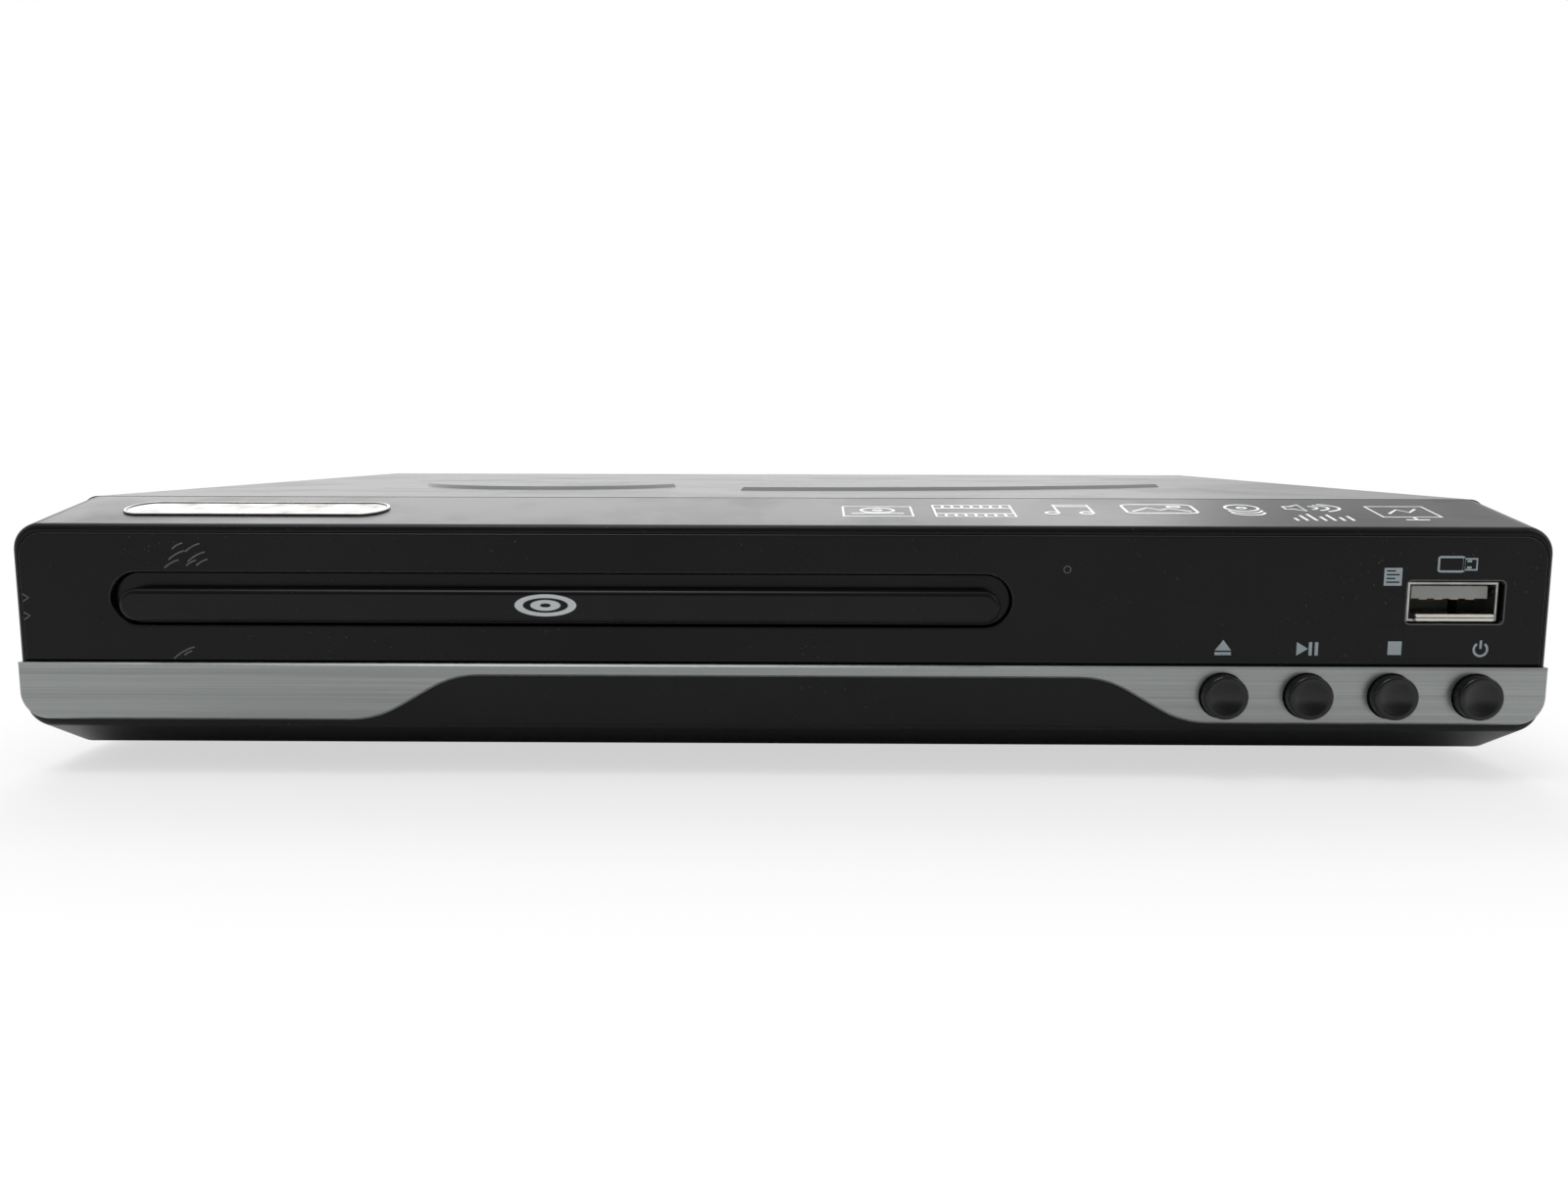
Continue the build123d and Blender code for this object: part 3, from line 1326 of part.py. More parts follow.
with BuildPart() as board_connectors:
    chip(board_left + 11, main_start + 4, 7, 4, 5)
    chip(main_x, main_start + 4, 14, 4, 5)
    chip(main_right - 2.5, link_depth, 4, 14, 5)
    chip(power_left + 2.5, link_depth, 4, 14, 5)
    chip(power_left + 13, board_end - 15, 8, 3.5, 5)
save(board_connectors, "board_connectors")

power_x = (power_left + board_right) / 2
with BuildPart() as board_capacitors:
    for x, d, radius, height in (
        (main_right - 5, main_start + 14, 3.15, 11),
        (main_right - 5, main_start + 22, 3.15, 11),
        (board_left + 5, disc_depth + 48, 2.5, 9),
        (board_left + 5, disc_depth + 56, 2.5, 9),
        (main_right - 5, disc_depth + 44, 2.5, 9),
        (power_x + 4, link_depth + 16, 7, 22),
        (power_left + 5, power_start + 14, 4, 14),
        (power_left + 5, power_start + 23, 4, 14),
        (board_right - 6, link_depth, 5, 16),
    ):
        post(x, d, (board_high, board_high + height), radius)
save(board_capacitors, "board_capacitors")

with BuildPart() as transformer:
    block((power_x - 10, power_x + 10), (disc_depth + 2, disc_depth + 18), (board_high + 3, board_high + 16))
    block((power_x - 8, power_x + 8), (disc_depth - 3, disc_depth + 23), (board_high, board_high + 3.2))
    block((power_x - 6, power_x + 6), (disc_depth - 1, disc_depth + 21), (board_high + 3, board_high + 14))
save(transformer, "transformer")

sink_start = power_start + 8
with BuildPart() as heat_sink:
    sink_x = board_right - 4
    block((sink_x, sink_x + 1.4), (sink_start, sink_start + 19), (board_high, board_high + 20))
    for i in range(5):
        d = sink_start + i * 4.45
        block((sink_x - 5, sink_x + 0.2), (d, d + 1.2), (board_high + 6, board_high + 20))
save(heat_sink, "heat_sink")

with BuildPart() as board_screws:
    for x, d in main_spots + power_spots:
        post(x, d, (board_high, board_high + screw_head_height), screw_head_radius)
        post(x, d, (board_low - 4, board_high + 0.1), 1.15)
    for x, z in boss_spots:
        peg(x, z, (board_back, board_back + screw_head_height), screw_head_radius)
        peg(x, z, (board_face - 4, board_back + 0.1), 1.15)
save(board_screws, "board_screws")


def ribbon(plane, path, width, thickness=0.3):
    """Adds a flat cable: a strip that starts on a plane and follows a bent line drawn in it."""
    with BuildSketch(plane) as strip:
        with BuildLine() as line:
            FilletPolyline(*path, radius=2.5)
        trace(line.edges(), thickness)
    extrude(strip.sketch, amount=width)


plug_high = board_high + 5
with BuildPart() as flat_cables:
    plug_depth = main_start + 4
    key_path = [
        (board_back + 0.2, button_z + 5),
        (board_back + 8, button_z + 5),
        (plug_depth - 10, plug_high + 5),
        (plug_depth, plug_high + 5),
        (plug_depth, plug_high),
    ]
    ribbon(side_on(board_left + 8), key_path, 6)
    left_plug = main_right - 2.5
    right_plug = power_left + 2.5
    power_path = [
        (left_plug, plug_high),
        (left_plug, plug_high + 6),
        (right_plug, plug_high + 6),
        (right_plug, plug_high),
    ]
    ribbon(upright(link_depth + 5), power_path, 10)
save(flat_cables, "flat_cables")

with BuildPart() as usb_cable:
    cable_radius = 1.4
    cable_z = usb_board_high + cable_radius + 0.1
    with BuildLine():
        route = FilletPolyline(
            (usb_x, front_y + 20, cable_z),
            (usb_x, front_y + 33, cable_z),
            (main_x + 6, front_y + 40, cable_z),
            (main_x, front_y + plug_depth, cable_z - 1),
            (main_x, front_y + plug_depth, plug_high),
            radius=[5, 5, 2],
        )
    with BuildSketch(Plane(origin=route @ 0, z_dir=route % 0)):
        Circle(cable_radius)
    sweep()
save(usb_cable, "usb_cable")
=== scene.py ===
"""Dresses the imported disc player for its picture: finishes, printed marks, small fittings, studio and camera.

Lengths are millimetres unless a name says otherwise, and become metres where a mesh is made. Places on the
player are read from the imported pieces' own boxes, so they follow the source.
"""

from __future__ import annotations

import logging
import math
from dataclasses import dataclass, field
from enum import Enum
from typing import Any, Iterable, Sequence

import bmesh
import bpy
from mathutils import Matrix, Vector


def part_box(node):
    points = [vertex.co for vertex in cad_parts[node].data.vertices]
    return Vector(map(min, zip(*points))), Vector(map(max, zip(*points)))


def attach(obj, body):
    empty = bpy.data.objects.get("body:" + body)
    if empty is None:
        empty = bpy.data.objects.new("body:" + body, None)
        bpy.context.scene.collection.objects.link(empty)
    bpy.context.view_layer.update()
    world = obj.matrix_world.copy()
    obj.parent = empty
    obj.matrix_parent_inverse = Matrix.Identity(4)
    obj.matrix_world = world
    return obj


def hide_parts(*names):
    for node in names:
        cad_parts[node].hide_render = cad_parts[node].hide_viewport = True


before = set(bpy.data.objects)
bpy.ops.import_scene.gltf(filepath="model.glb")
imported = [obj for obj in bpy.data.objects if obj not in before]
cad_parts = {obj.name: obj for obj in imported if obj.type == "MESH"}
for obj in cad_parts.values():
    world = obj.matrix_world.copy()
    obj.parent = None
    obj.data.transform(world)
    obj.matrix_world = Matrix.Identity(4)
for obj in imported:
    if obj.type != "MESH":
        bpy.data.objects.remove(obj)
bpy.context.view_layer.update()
LOG = logging.getLogger("disc_player")
MM = 0.001
Colour = tuple[float, float, float]
Point = tuple[float, float]
Mesh = bpy.types.Mesh
PLAYER = "player"
SPECK: Colour = (0.5, 0.5, 0.52)
# Pale colour mixed onto bevels and embossed ridges: a painted highlight.
PAINTED_EDGE_HIGHLIGHT: Colour = (0.75, 0.76, 0.76)
DUST: Colour = (0.32, 0.32, 0.31)
METAL_DUST: Colour = (0.35, 0.34, 0.32)
TINNED: Colour = (0.55, 0.54, 0.5)
GRIME: Colour = (0.2, 0.19, 0.17)


# ---- Node trees ----------------------------------------------------------------------------------
class Graph:
    """Adds the nodes of one node tree and wires them."""

    def __init__(self, tree: bpy.types.NodeTree) -> None:
        """Keeps the tree and starts an empty row of nodes."""
        self.tree = tree

    def add(self, kind: str, values: dict[Any, Any] | None = None, **settings: Any) -> bpy.types.Node:
        """Adds a node.

        Args:
            kind: The node's type name.
            values: A plain value, or a socket to link from, for each input name or index.
            settings: Properties of the node itself.

        Returns:
            The new node.
        """
        node = self.tree.nodes.new(kind)
        node.location = (180 * len(self.tree.nodes), 0)
        for name, value in settings.items():
            setattr(node, name, value)
        for key, value in (values or {}).items():
            if isinstance(value, bpy.types.NodeSocket):
                self.tree.links.new(value, node.inputs[key])
            else:
                node.inputs[key].default_value = value
        return node

    def math(self, operation: str, a: Any, b: Any = 0.0) -> bpy.types.NodeSocket:
        """Adds a Math node and returns its value."""
        return self.add("ShaderNodeMath", {0: a, 1: b}, operation=operation).outputs[0]

    def noise(self, vector: Any, scale: Any, detail: float = 2.0, rough: float = 0.5) -> bpy.types.NodeSocket:
        """Adds a noise pattern and returns its value."""
        values = {"Vector": vector, "Scale": scale, "Detail": detail, "Roughness": rough}
        return self.add("ShaderNodeTexNoise", values).outputs[0]

    def ramp(self, value: Any, low: Any, high: Any, start: Any = 0.0, end: Any = 1.0) -> bpy.types.NodeSocket:
        """Maps a value from one range to another, clamped.

        Args:
            value: The socket to map.
            low: Where the source range starts.
            high: Where the source range ends.
            start: The result at low.
            end: The result at high.

        Returns:
            The mapped value.
        """
        values = {0: value, 1: low, 2: high, 3: start, 4: end}
        return self.add("ShaderNodeMapRange", values).outputs[0]

    def mix(self, factor: Any, a: Any, b: Any) -> bpy.types.NodeSocket:
        """Mixes two colours and returns the result."""
        return self.add("ShaderNodeMix", {0: factor, 6: a, 7: b}, data_type="RGBA").outputs[2]

    def turn(self, vector: Any, scale: Sequence[float], degrees: Sequence[float] = (0, 0, 0)) -> Any:
        """Scales and turns a vector, and returns the new vector's socket."""
        angles = tuple(math.radians(d) for d in degrees)
        values = {"Vector": vector, "Scale": tuple(scale), "Rotation": angles}
        return self.add("ShaderNodeMapping", values).outputs[0]

    def bump(self, height: Any, distance: float) -> bpy.types.NodeSocket:
        """Adds a bump of a pattern, its depth in millimetres, and returns the normal."""
        values = {"Height": height, "Distance": distance * MM, "Strength": 1.0}
        return self.add("ShaderNodeBump", values).outputs[0]

    def largest(self, *values: Any) -> bpy.types.NodeSocket:
        """Returns the largest of two or more values."""
        result = values[0]
        for value in values[1:]:
            result = self.math("MAXIMUM", result, value)
        return result

    def product(self, *values: Any) -> bpy.types.NodeSocket:
        """Returns the product of two or more values."""
        result = values[0]
        for value in values[1:]:
            result = self.math("MULTIPLY", result, value)
        return result


def opaque(colour: Colour) -> tuple[float, float, float, float]:
    """Adds a full alpha to a colour."""
    return (*colour, 1.0)


def tinted(colour: Colour, factor: float) -> tuple[float, float, float, float]:
    """Returns a colour made lighter or darker by a factor."""
    return opaque(tuple(min(1.0, c * factor) for c in colour))


class ShaderGroups:
    """The effects that several finishes share, each a node group that is built once."""

    def __init__(self) -> None:
        """Builds the groups."""
        self.grain = self._grain()
        self.wear = self._wear()
        self.streaks = self._streaks()

    @staticmethod
    def _tree(name: str, inputs: dict[str, str], outputs: Sequence[str]) -> tuple[Graph, bpy.types.Node]:
        """Makes an empty shader group with its sockets.

        Args:
            name: The group's name.
            inputs: The kind of each named input.
            outputs: The names of the outputs, all plain values.

        Returns:
            The graph to fill, and the node that gives the inputs.
        """
        tree = bpy.data.node_groups.new(name, "ShaderNodeTree")
        for label, kind in inputs.items():
            tree.interface.new_socket(label, in_out="INPUT", socket_type=kind)
        for label in outputs:
            tree.interface.new_socket(label, in_out="OUTPUT", socket_type="NodeSocketFloat")
        graph = Graph(tree)
        return graph, graph.add("NodeGroupInput")

    def _grain(self) -> bpy.types.NodeTree:
        """A moulded or sprayed skin: a fine relief, broad mottling, and sparse bright specks."""
        inputs = {"Vector": "NodeSocketVector", "Scale": "NodeSocketFloat"}
        graph, given = self._tree("fine_grain", inputs, ("Height", "Mottle", "Speck"))
        vector, scale = given.outputs["Vector"], given.outputs["Scale"]
        fine = graph.noise(vector, scale, 3.0, 0.6)
        broad = graph.noise(vector, graph.product(scale, 0.012), 4.0, 0.6)
        cells = graph.add("ShaderNodeTexVoronoi", {"Vector": vector, "Scale": scale})
        shade = graph.add("ShaderNodeSeparateColor", {0: cells.outputs["Color"]}).outputs[0]
        speck = graph.ramp(shade, 0.86, 1.0)
        graph.add("NodeGroupOutput", {"Height": fine, "Mottle": broad, "Speck": speck})
        return graph.tree

    def _wear(self) -> bpy.types.NodeTree:
        """Handling marks: hair scratches that cross each other, settled dust, and wiped smudges."""
        inputs = {"Vector": "NodeSocketVector", "Scratches": "NodeSocketFloat", "Dust": "NodeSocketFloat"}
        graph, given = self._tree("handling_wear", inputs, ("Scratch", "Dust", "Smudge"))
        vector = given.outputs["Vector"]
        hairs = []
        for angles in ((0, 34, 38), (0, -52, -20)):
            run = graph.turn(graph.turn(vector, (1, 1, 1), angles), (70, 2600, 2600))
            hairs.append(graph.ramp(graph.noise(run, 1.0, 1.0), 0.735, 0.80))
        patches = graph.ramp(graph.noise(vector, 55.0, 2.0), 0.5, 0.66)
        scratch = graph.product(graph.largest(*hairs), patches, given.outputs["Scratches"])
        flecks = graph.ramp(graph.noise(vector, 2600.0, 2.0), 0.73, 0.80)
        drift = graph.ramp(graph.noise(vector, 40.0, 3.0), 0.42, 0.7)
        dust = graph.product(flecks, drift, given.outputs["Dust"])
        smudge = graph.ramp(graph.noise(graph.turn(vector, (1, 1, 2.2)), 42.0, 4.0, 0.62), 0.45, 0.75)
        graph.add("NodeGroupOutput", {"Scratch": scratch, "Dust": dust, "Smudge": smudge})
        return graph.tree

    def _streaks(self) -> bpy.types.NodeTree:
        """Brushed or drawn metal: fine and coarse streaks, from a vector that is already stretched."""
        graph, given = self._tree("brushed_streaks", {"Vector": "NodeSocketVector"}, ("Height", "Streak"))
        vector = given.outputs["Vector"]
        fine = graph.noise(vector, 1.0, 2.0, 0.7)
        coarse = graph.noise(graph.turn(vector, (0.35, 0.35, 0.35)), 1.0, 2.0, 0.5)
        streak = graph.math("ADD", graph.product(fine, 0.65), graph.product(coarse, 0.35))
        graph.add("NodeGroupOutput", {"Height": fine, "Streak": streak})
        return graph.tree


GROUPS = ShaderGroups()


# ---- Finishes ------------------------------------------------------------------------------------
class Surface:
    """A material in the making: its graph, its object coordinates and normal, and its main shader."""

    def __init__(self, name: str, metallic: float = 0.0, **plain: Any) -> None:
        """Starts a material.

        Args:
            name: The material's name.
            metallic: How much the surface is a metal.
            plain: Shader inputs that are the same all over, by name with _ for a space.
        """
        self.material = bpy.data.materials.new(name)
        self.material.use_nodes = True
        self.material.node_tree.nodes.clear()
        self.graph = Graph(self.material.node_tree)
        places = self.graph.add("ShaderNodeTexCoord")
        self.coordinates, self.normal = places.outputs["Object"], places.outputs["Normal"]
        self.shader = self.graph.add("ShaderNodeBsdfPrincipled", {"Metallic": metallic})
        self.output = self.graph.add("ShaderNodeOutputMaterial", {"Surface": self.shader.outputs[0]})
        for key, value in plain.items():
            self.shader.inputs[key.replace("_", " ")].default_value = value

    def feed(self, **sockets: Any) -> None:
        """Links patterns to the shader's inputs, by name with _ for a space."""
        for key, socket in sockets.items():
            self.graph.tree.links.new(socket, self.shader.inputs[key.replace("_", " ")])

    def effect(self, group: bpy.types.NodeTree, **values: Any) -> bpy.types.NodeOutputs:
        """Places a shared effect with this finish's own amounts, and returns its outputs."""
        values.setdefault("Vector", self.coordinates)
        return self.graph.add("ShaderNodeGroup", values, node_tree=group).outputs

    def wear(self, scratches: float, dust: float) -> tuple[Any, Any, Any]:
        """Returns the scratches, the dust and the smudges."""
        marks = self.effect(GROUPS.wear, Scratches=scratches, Dust=dust)
        return marks["Scratch"], marks["Dust"], marks["Smudge"]


@dataclass(frozen=True)
class Plastic:
    """A moulded, glossy or sprayed plastic.

    Attributes:
        name: The material's name.
        colour: The plastic's own colour.
        roughness: How matt it is on the whole.
        relief: The depth of its grain in millimetres.
        grain_scale: Grains per metre.
        mottle: How much its colour wanders.
        specks: How bright the sparse specks are.
        scratches: The share of hair scratches.
        dust: The share of settled dust.
        coat: The weight of a clear coat.
        specular: The strength of its plain reflection.
        edges: How strong a painted highlight is where a face is turned between the main directions.
        edge_reach: How far from the middle that painted highlight shows, across, in metres.
    """

    name: str
    colour: Colour
    roughness: float = 0.5
    relief: float = 0.012
    grain_scale: float = 2600.0
    mottle: float = 0.25
    specks: float = 0.0
    scratches: float = 0.3
    dust: float = 0.3
    coat: float = 0.0
    specular: float = 0.5
    edges: float = 0.0
    edge_reach: float = 1.0

    def build(self) -> bpy.types.Material:
        """Makes the material."""
        levels = {"Coat_Weight": self.coat, "Coat_Roughness": 0.12, "Specular_IOR_Level": self.specular}
        surface = Surface(self.name, **levels)
        graph = surface.graph
        grain = surface.effect(GROUPS.grain, Scale=self.grain_scale)
        scratch, dust, smudge = surface.wear(self.scratches, self.dust)
        dark, light = tinted(self.colour, 1 - self.mottle), tinted(self.colour, 1 + self.mottle)
        colour = graph.mix(graph.ramp(grain["Mottle"], 0.3, 0.7), dark, light)
        if self.specks:
            colour = graph.mix(graph.product(grain["Speck"], self.specks), colour, opaque(SPECK))
        # Painted highlight: pale colour on faces that turn between the main directions.
        if self.edges:
            colour = graph.mix(self.turned(surface), colour, opaque(PAINTED_EDGE_HIGHLIGHT))
        marks = graph.largest(scratch, dust)
        colour = graph.mix(graph.product(marks, 0.55), colour, opaque(DUST))
        matt = (self.roughness * 0.88, min(1.0, self.roughness * 1.15))
        rough = graph.math("ADD", graph.ramp(smudge, 0.0, 1.0, *matt), graph.product(marks, 0.25))
        surface.feed(Base_Color=colour, Roughness=rough, Normal=graph.bump(grain["Height"], self.relief))
        return surface.material

    def turned(self, surface: Surface) -> bpy.types.NodeSocket:
        """Finds where the surface turns from one main direction to another, as on bevels and creases.

        Args:
            surface: The material in the making.

        Returns:
            How strong the painted highlight is at each place.
        """
        graph = surface.graph
        size = graph.add("ShaderNodeVectorMath", {0: surface.normal}, operation="ABSOLUTE").outputs[0]
        straight = graph.largest(*graph.add("ShaderNodeSeparateXYZ", {0: size}).outputs)
        across = graph.add("ShaderNodeSeparateXYZ", {0: surface.coordinates}).outputs[0]
        near = graph.ramp(graph.math("ABSOLUTE", across), self.edge_reach, self.edge_reach - 0.004)
        return graph.product(graph.ramp(straight, 0.975, 0.88, 0.0, self.edges), near)


class Grain(Enum):
    """Which way a metal's streaks run, as the stretch of their pattern."""

    ACROSS = (14.0, 5200.0, 5200.0)
    ALONG = (4200.0, 14.0, 4200.0)
    UPRIGHT = (3600.0, 3600.0, 22.0)
    ROLLED = (420.0, 900.0, 900.0)


@dataclass(frozen=True)
class BrushedMetal:
    """Sheet, drawn or brushed metal, or a film that looks like it.

    Attributes:
        name: The material's name.
        colour: The metal's colour.
        roughness: How matt it is on the whole.
        grain: The direction of its streaks.
        relief: The streaks' depth in millimetres.
        contrast: How much the streaks change the colour.
        metallic: How much the surface is a metal.
        scratches: The share of hair scratches.
        dust: The share of settled dust.
    """

    name: str
    colour: Colour
    roughness: float = 0.35
    grain: Grain = Grain.ACROSS
    relief: float = 0.004
    contrast: float = 0.25
    metallic: float = 1.0
    scratches: float = 0.3
    dust: float = 0.3

    def build(self) -> bpy.types.Material:
        """Makes the material."""
        surface = Surface(self.name, self.metallic)
        graph = surface.graph
        run = graph.turn(surface.coordinates, self.grain.value)
        streaks = surface.effect(GROUPS.streaks, Vector=run)
        scratch, dust, _ = surface.wear(self.scratches, self.dust)
        streak = graph.ramp(streaks["Streak"], 0.3, 0.7)
        dark, light = tinted(self.colour, 1 - self.contrast), tinted(self.colour, 1 + self.contrast)
        colour = graph.mix(dust, graph.mix(streak, dark, light), opaque(METAL_DUST))
        spread = graph.ramp(streak, 0.0, 1.0, self.roughness * 1.2, self.roughness * 0.8)
        rough = graph.math("ADD", spread, graph.product(scratch, 0.2))
        surface.feed(Base_Color=colour, Roughness=rough, Normal=graph.bump(streaks["Height"], self.relief))
        return surface.material


@dataclass(frozen=True)
class PlatedMetal:
    """Chrome, nickel or ground steel: bright, with slow ripples and a little tarnish.

    Attributes:
        name: The material's name.
        colour: The plating's colour.
        roughness: How matt it is on the whole.
        ripple: The depth of the slow ripples in millimetres.
        tarnish: How dark the tarnished places are.
    """

    name: str
    colour: Colour
    roughness: float = 0.14
    ripple: float = 0.02
    tarnish: float = 0.35

    def build(self) -> bpy.types.Material:
        """Makes the material."""
        surface = Surface(self.name, 1.0)
        graph = surface.graph
        scratch, dust, _ = surface.wear(0.5, 0.3)
        cloud = graph.ramp(graph.noise(surface.coordinates, 260.0, 3.0), 0.45, 0.8)
        colour = graph.mix(cloud, opaque(self.colour), tinted(self.colour, 1 - self.tarnish))
        matt = graph.ramp(cloud, 0.0, 1.0, self.roughness, self.roughness * 2)
        rough = graph.math("ADD", matt, graph.largest(scratch, dust))
        slow = graph.noise(surface.coordinates, 190.0, 1.0)
        surface.feed(Base_Color=colour, Roughness=rough, Normal=graph.bump(slow, self.ripple))
        return surface.material


@dataclass(frozen=True)
class Ink:
    """A printed mark, a little broken where the screen left it thin.

    Attributes:
        name: The material's name.
        colour: The ink's colour.
        broken: How much of the print is worn thin.
        roughness: How matt the ink is.
    """

    name: str
    colour: Colour
    broken: float = 0.25
    roughness: float = 0.45

    def build(self) -> bpy.types.Material:
        """Makes the material."""
        surface = Surface(self.name)
        graph = surface.graph
        thin = graph.ramp(graph.noise(surface.coordinates, 3200.0, 3.0), 0.5, 0.8, 0.0, self.broken)
        colour = graph.mix(thin, opaque(self.colour), tinted(self.colour, 0.35))
        rough = graph.ramp(thin, 0.0, 1.0, self.roughness, self.roughness * 0.7)
        surface.feed(Base_Color=colour, Roughness=rough)
        return surface.material


@dataclass(frozen=True)
class Laminate:
    """A printed board: green mask over copper tracks, with tinned pads.

    Attributes:
        name: The material's name.
        mask: The solder mask's colour over bare laminate.
        track: Its colour over copper.
        pitch: Track cells per metre.
    """

    name: str
    mask: Colour = (0.02, 0.13, 0.05)
    track: Colour = (0.05, 0.24, 0.10)
    pitch: float = 330.0

    def build(self) -> bpy.types.Material:
        """Makes the material."""
        surface = Surface(self.name, Coat_Weight=0.4)
        graph = surface.graph
        values = {"Vector": surface.coordinates, "Scale": self.pitch, "Randomness": 0.55}
        cells = graph.add("ShaderNodeTexVoronoi", values, feature="DISTANCE_TO_EDGE")
        lines = graph.ramp(cells.outputs["Distance"], 0.10, 0.13, 1.0, 0.0)
        values = {"Vector": surface.coordinates, "Scale": self.pitch * 0.9, "Randomness": 0.3}
        spots = graph.add("ShaderNodeTexVoronoi", values)
        pads = graph.ramp(spots.outputs["Distance"], 0.13, 0.16, 1.0, 0.0)
        colour = graph.mix(lines, opaque(self.mask), opaque(self.track))
        colour = graph.mix(pads, colour, opaque(TINNED))
        rough = graph.ramp(pads, 0.0, 1.0, 0.4, 0.25)
        raised = graph.math("ADD", graph.product(lines, 0.5), pads)
        surface.feed(Base_Color=colour, Roughness=rough, Metallic=pads, Normal=graph.bump(raised, 0.04))
        return surface.material


@dataclass(frozen=True)
class StripedCable:
    """A flat cable's sleeve: pale insulation over parallel wires.

    Attributes:
        name: The material's name.
        colour: The sleeve's colour.
        wires: Wires per metre.
    """

    name: str
    colour: Colour = (0.55, 0.55, 0.53)
    wires: float = 800.0

    def build(self) -> bpy.types.Material:
        """Makes the material."""
        surface = Surface(self.name)
        graph = surface.graph
        values = {"Vector": surface.coordinates, "Scale": self.wires, "Distortion": 0.1}
        wave = graph.add("ShaderNodeTexWave", values, bands_direction="X").outputs["Fac"]
        grime = graph.ramp(graph.noise(surface.coordinates, 180.0, 3.0), 0.4, 0.8, 0.0, 0.3)
        # Darker bands sit in the grooves between the wires, where the bump sinks: painted shade.
        colour = graph.mix(wave, tinted(self.colour, 0.6), opaque(self.colour))
        colour = graph.mix(grime, colour, opaque(GRIME))
        rough = graph.ramp(wave, 0, 1, 0.35, 0.5)
        surface.feed(Base_Color=colour, Roughness=rough, Normal=graph.bump(wave, 0.05))
        return surface.material


@dataclass(frozen=True)
class SocketColours:
    """The phono jacks' inserts: one colour for each column and row.

    Attributes:
        name: The material's name.
        middle: The middle of the jacks, across and up, in metres.
        pitch: Half the distance between the outer columns' colours, in metres.
        low: The lower row's colours from left to right.
        high: The upper row's colours from left to right.
    """

    name: str
    middle: Point
    pitch: float = 0.007
    low: tuple[Colour, ...] = ((0.75, 0.02, 0.02), (0.72, 0.7, 0.66), (0.8, 0.5, 0.02))
    high: tuple[Colour, ...] = ((0.55, 0.02, 0.02), (0.02, 0.08, 0.5), (0.02, 0.3, 0.06))

    def build(self) -> bpy.types.Material:
        """Makes the material."""
        surface = Surface(self.name, Coat_Weight=0.2)
        graph = surface.graph
        parts = graph.add("ShaderNodeSeparateXYZ", {0: surface.coordinates})
        across, up = parts.outputs[0], parts.outputs[2]
        grain = surface.effect(GROUPS.grain, Scale=1800.0)
        _, dust, smudge = surface.wear(0.3, 0.6)
        second = graph.math("GREATER_THAN", across, self.middle[0] - self.pitch)
        third = graph.math("GREATER_THAN", across, self.middle[0] + self.pitch)
        rows = []
        for row in (self.low, self.high):
            pair = graph.mix(second, opaque(row[0]), opaque(row[1]))
            rows.append(graph.mix(third, pair, opaque(row[2])))
        colour = graph.mix(graph.math("GREATER_THAN", up, self.middle[1]), rows[0], rows[1])
        colour = graph.mix(graph.ramp(grain["Mottle"], 0.4, 0.8, 0.0, 0.3), colour, (0.1, 0.1, 0.1, 1))
        colour = graph.mix(dust, colour, (0.4, 0.4, 0.38, 1))
        rough = graph.ramp(smudge, 0.0, 1.0, 0.3, 0.5)
        surface.feed(Base_Color=colour, Roughness=rough, Normal=graph.bump(grain["Height"], 0.01))
        return surface.material


@dataclass(frozen=True)
class CoatedGlass:
    """The pickup's little lens, with its bluish coating.

    Attributes:
        name: The material's name.
        colour: The glass's tint.
    """

    name: str
    colour: Colour = (0.75, 0.85, 1.0)

    def build(self) -> bpy.types.Material:
        """Makes the material."""
        surface = Surface(self.name, Transmission_Weight=1.0, IOR=1.52)
        graph = surface.graph
        film = graph.ramp(graph.noise(surface.coordinates, 500.0, 1.0), 0.3, 0.7)
        colour = graph.mix(film, opaque(self.colour), (0.85, 0.75, 1.0, 1))
        surface.feed(Base_Color=colour, Roughness=graph.ramp(film, 0.0, 1.0, 0.02, 0.06))
        return surface.material


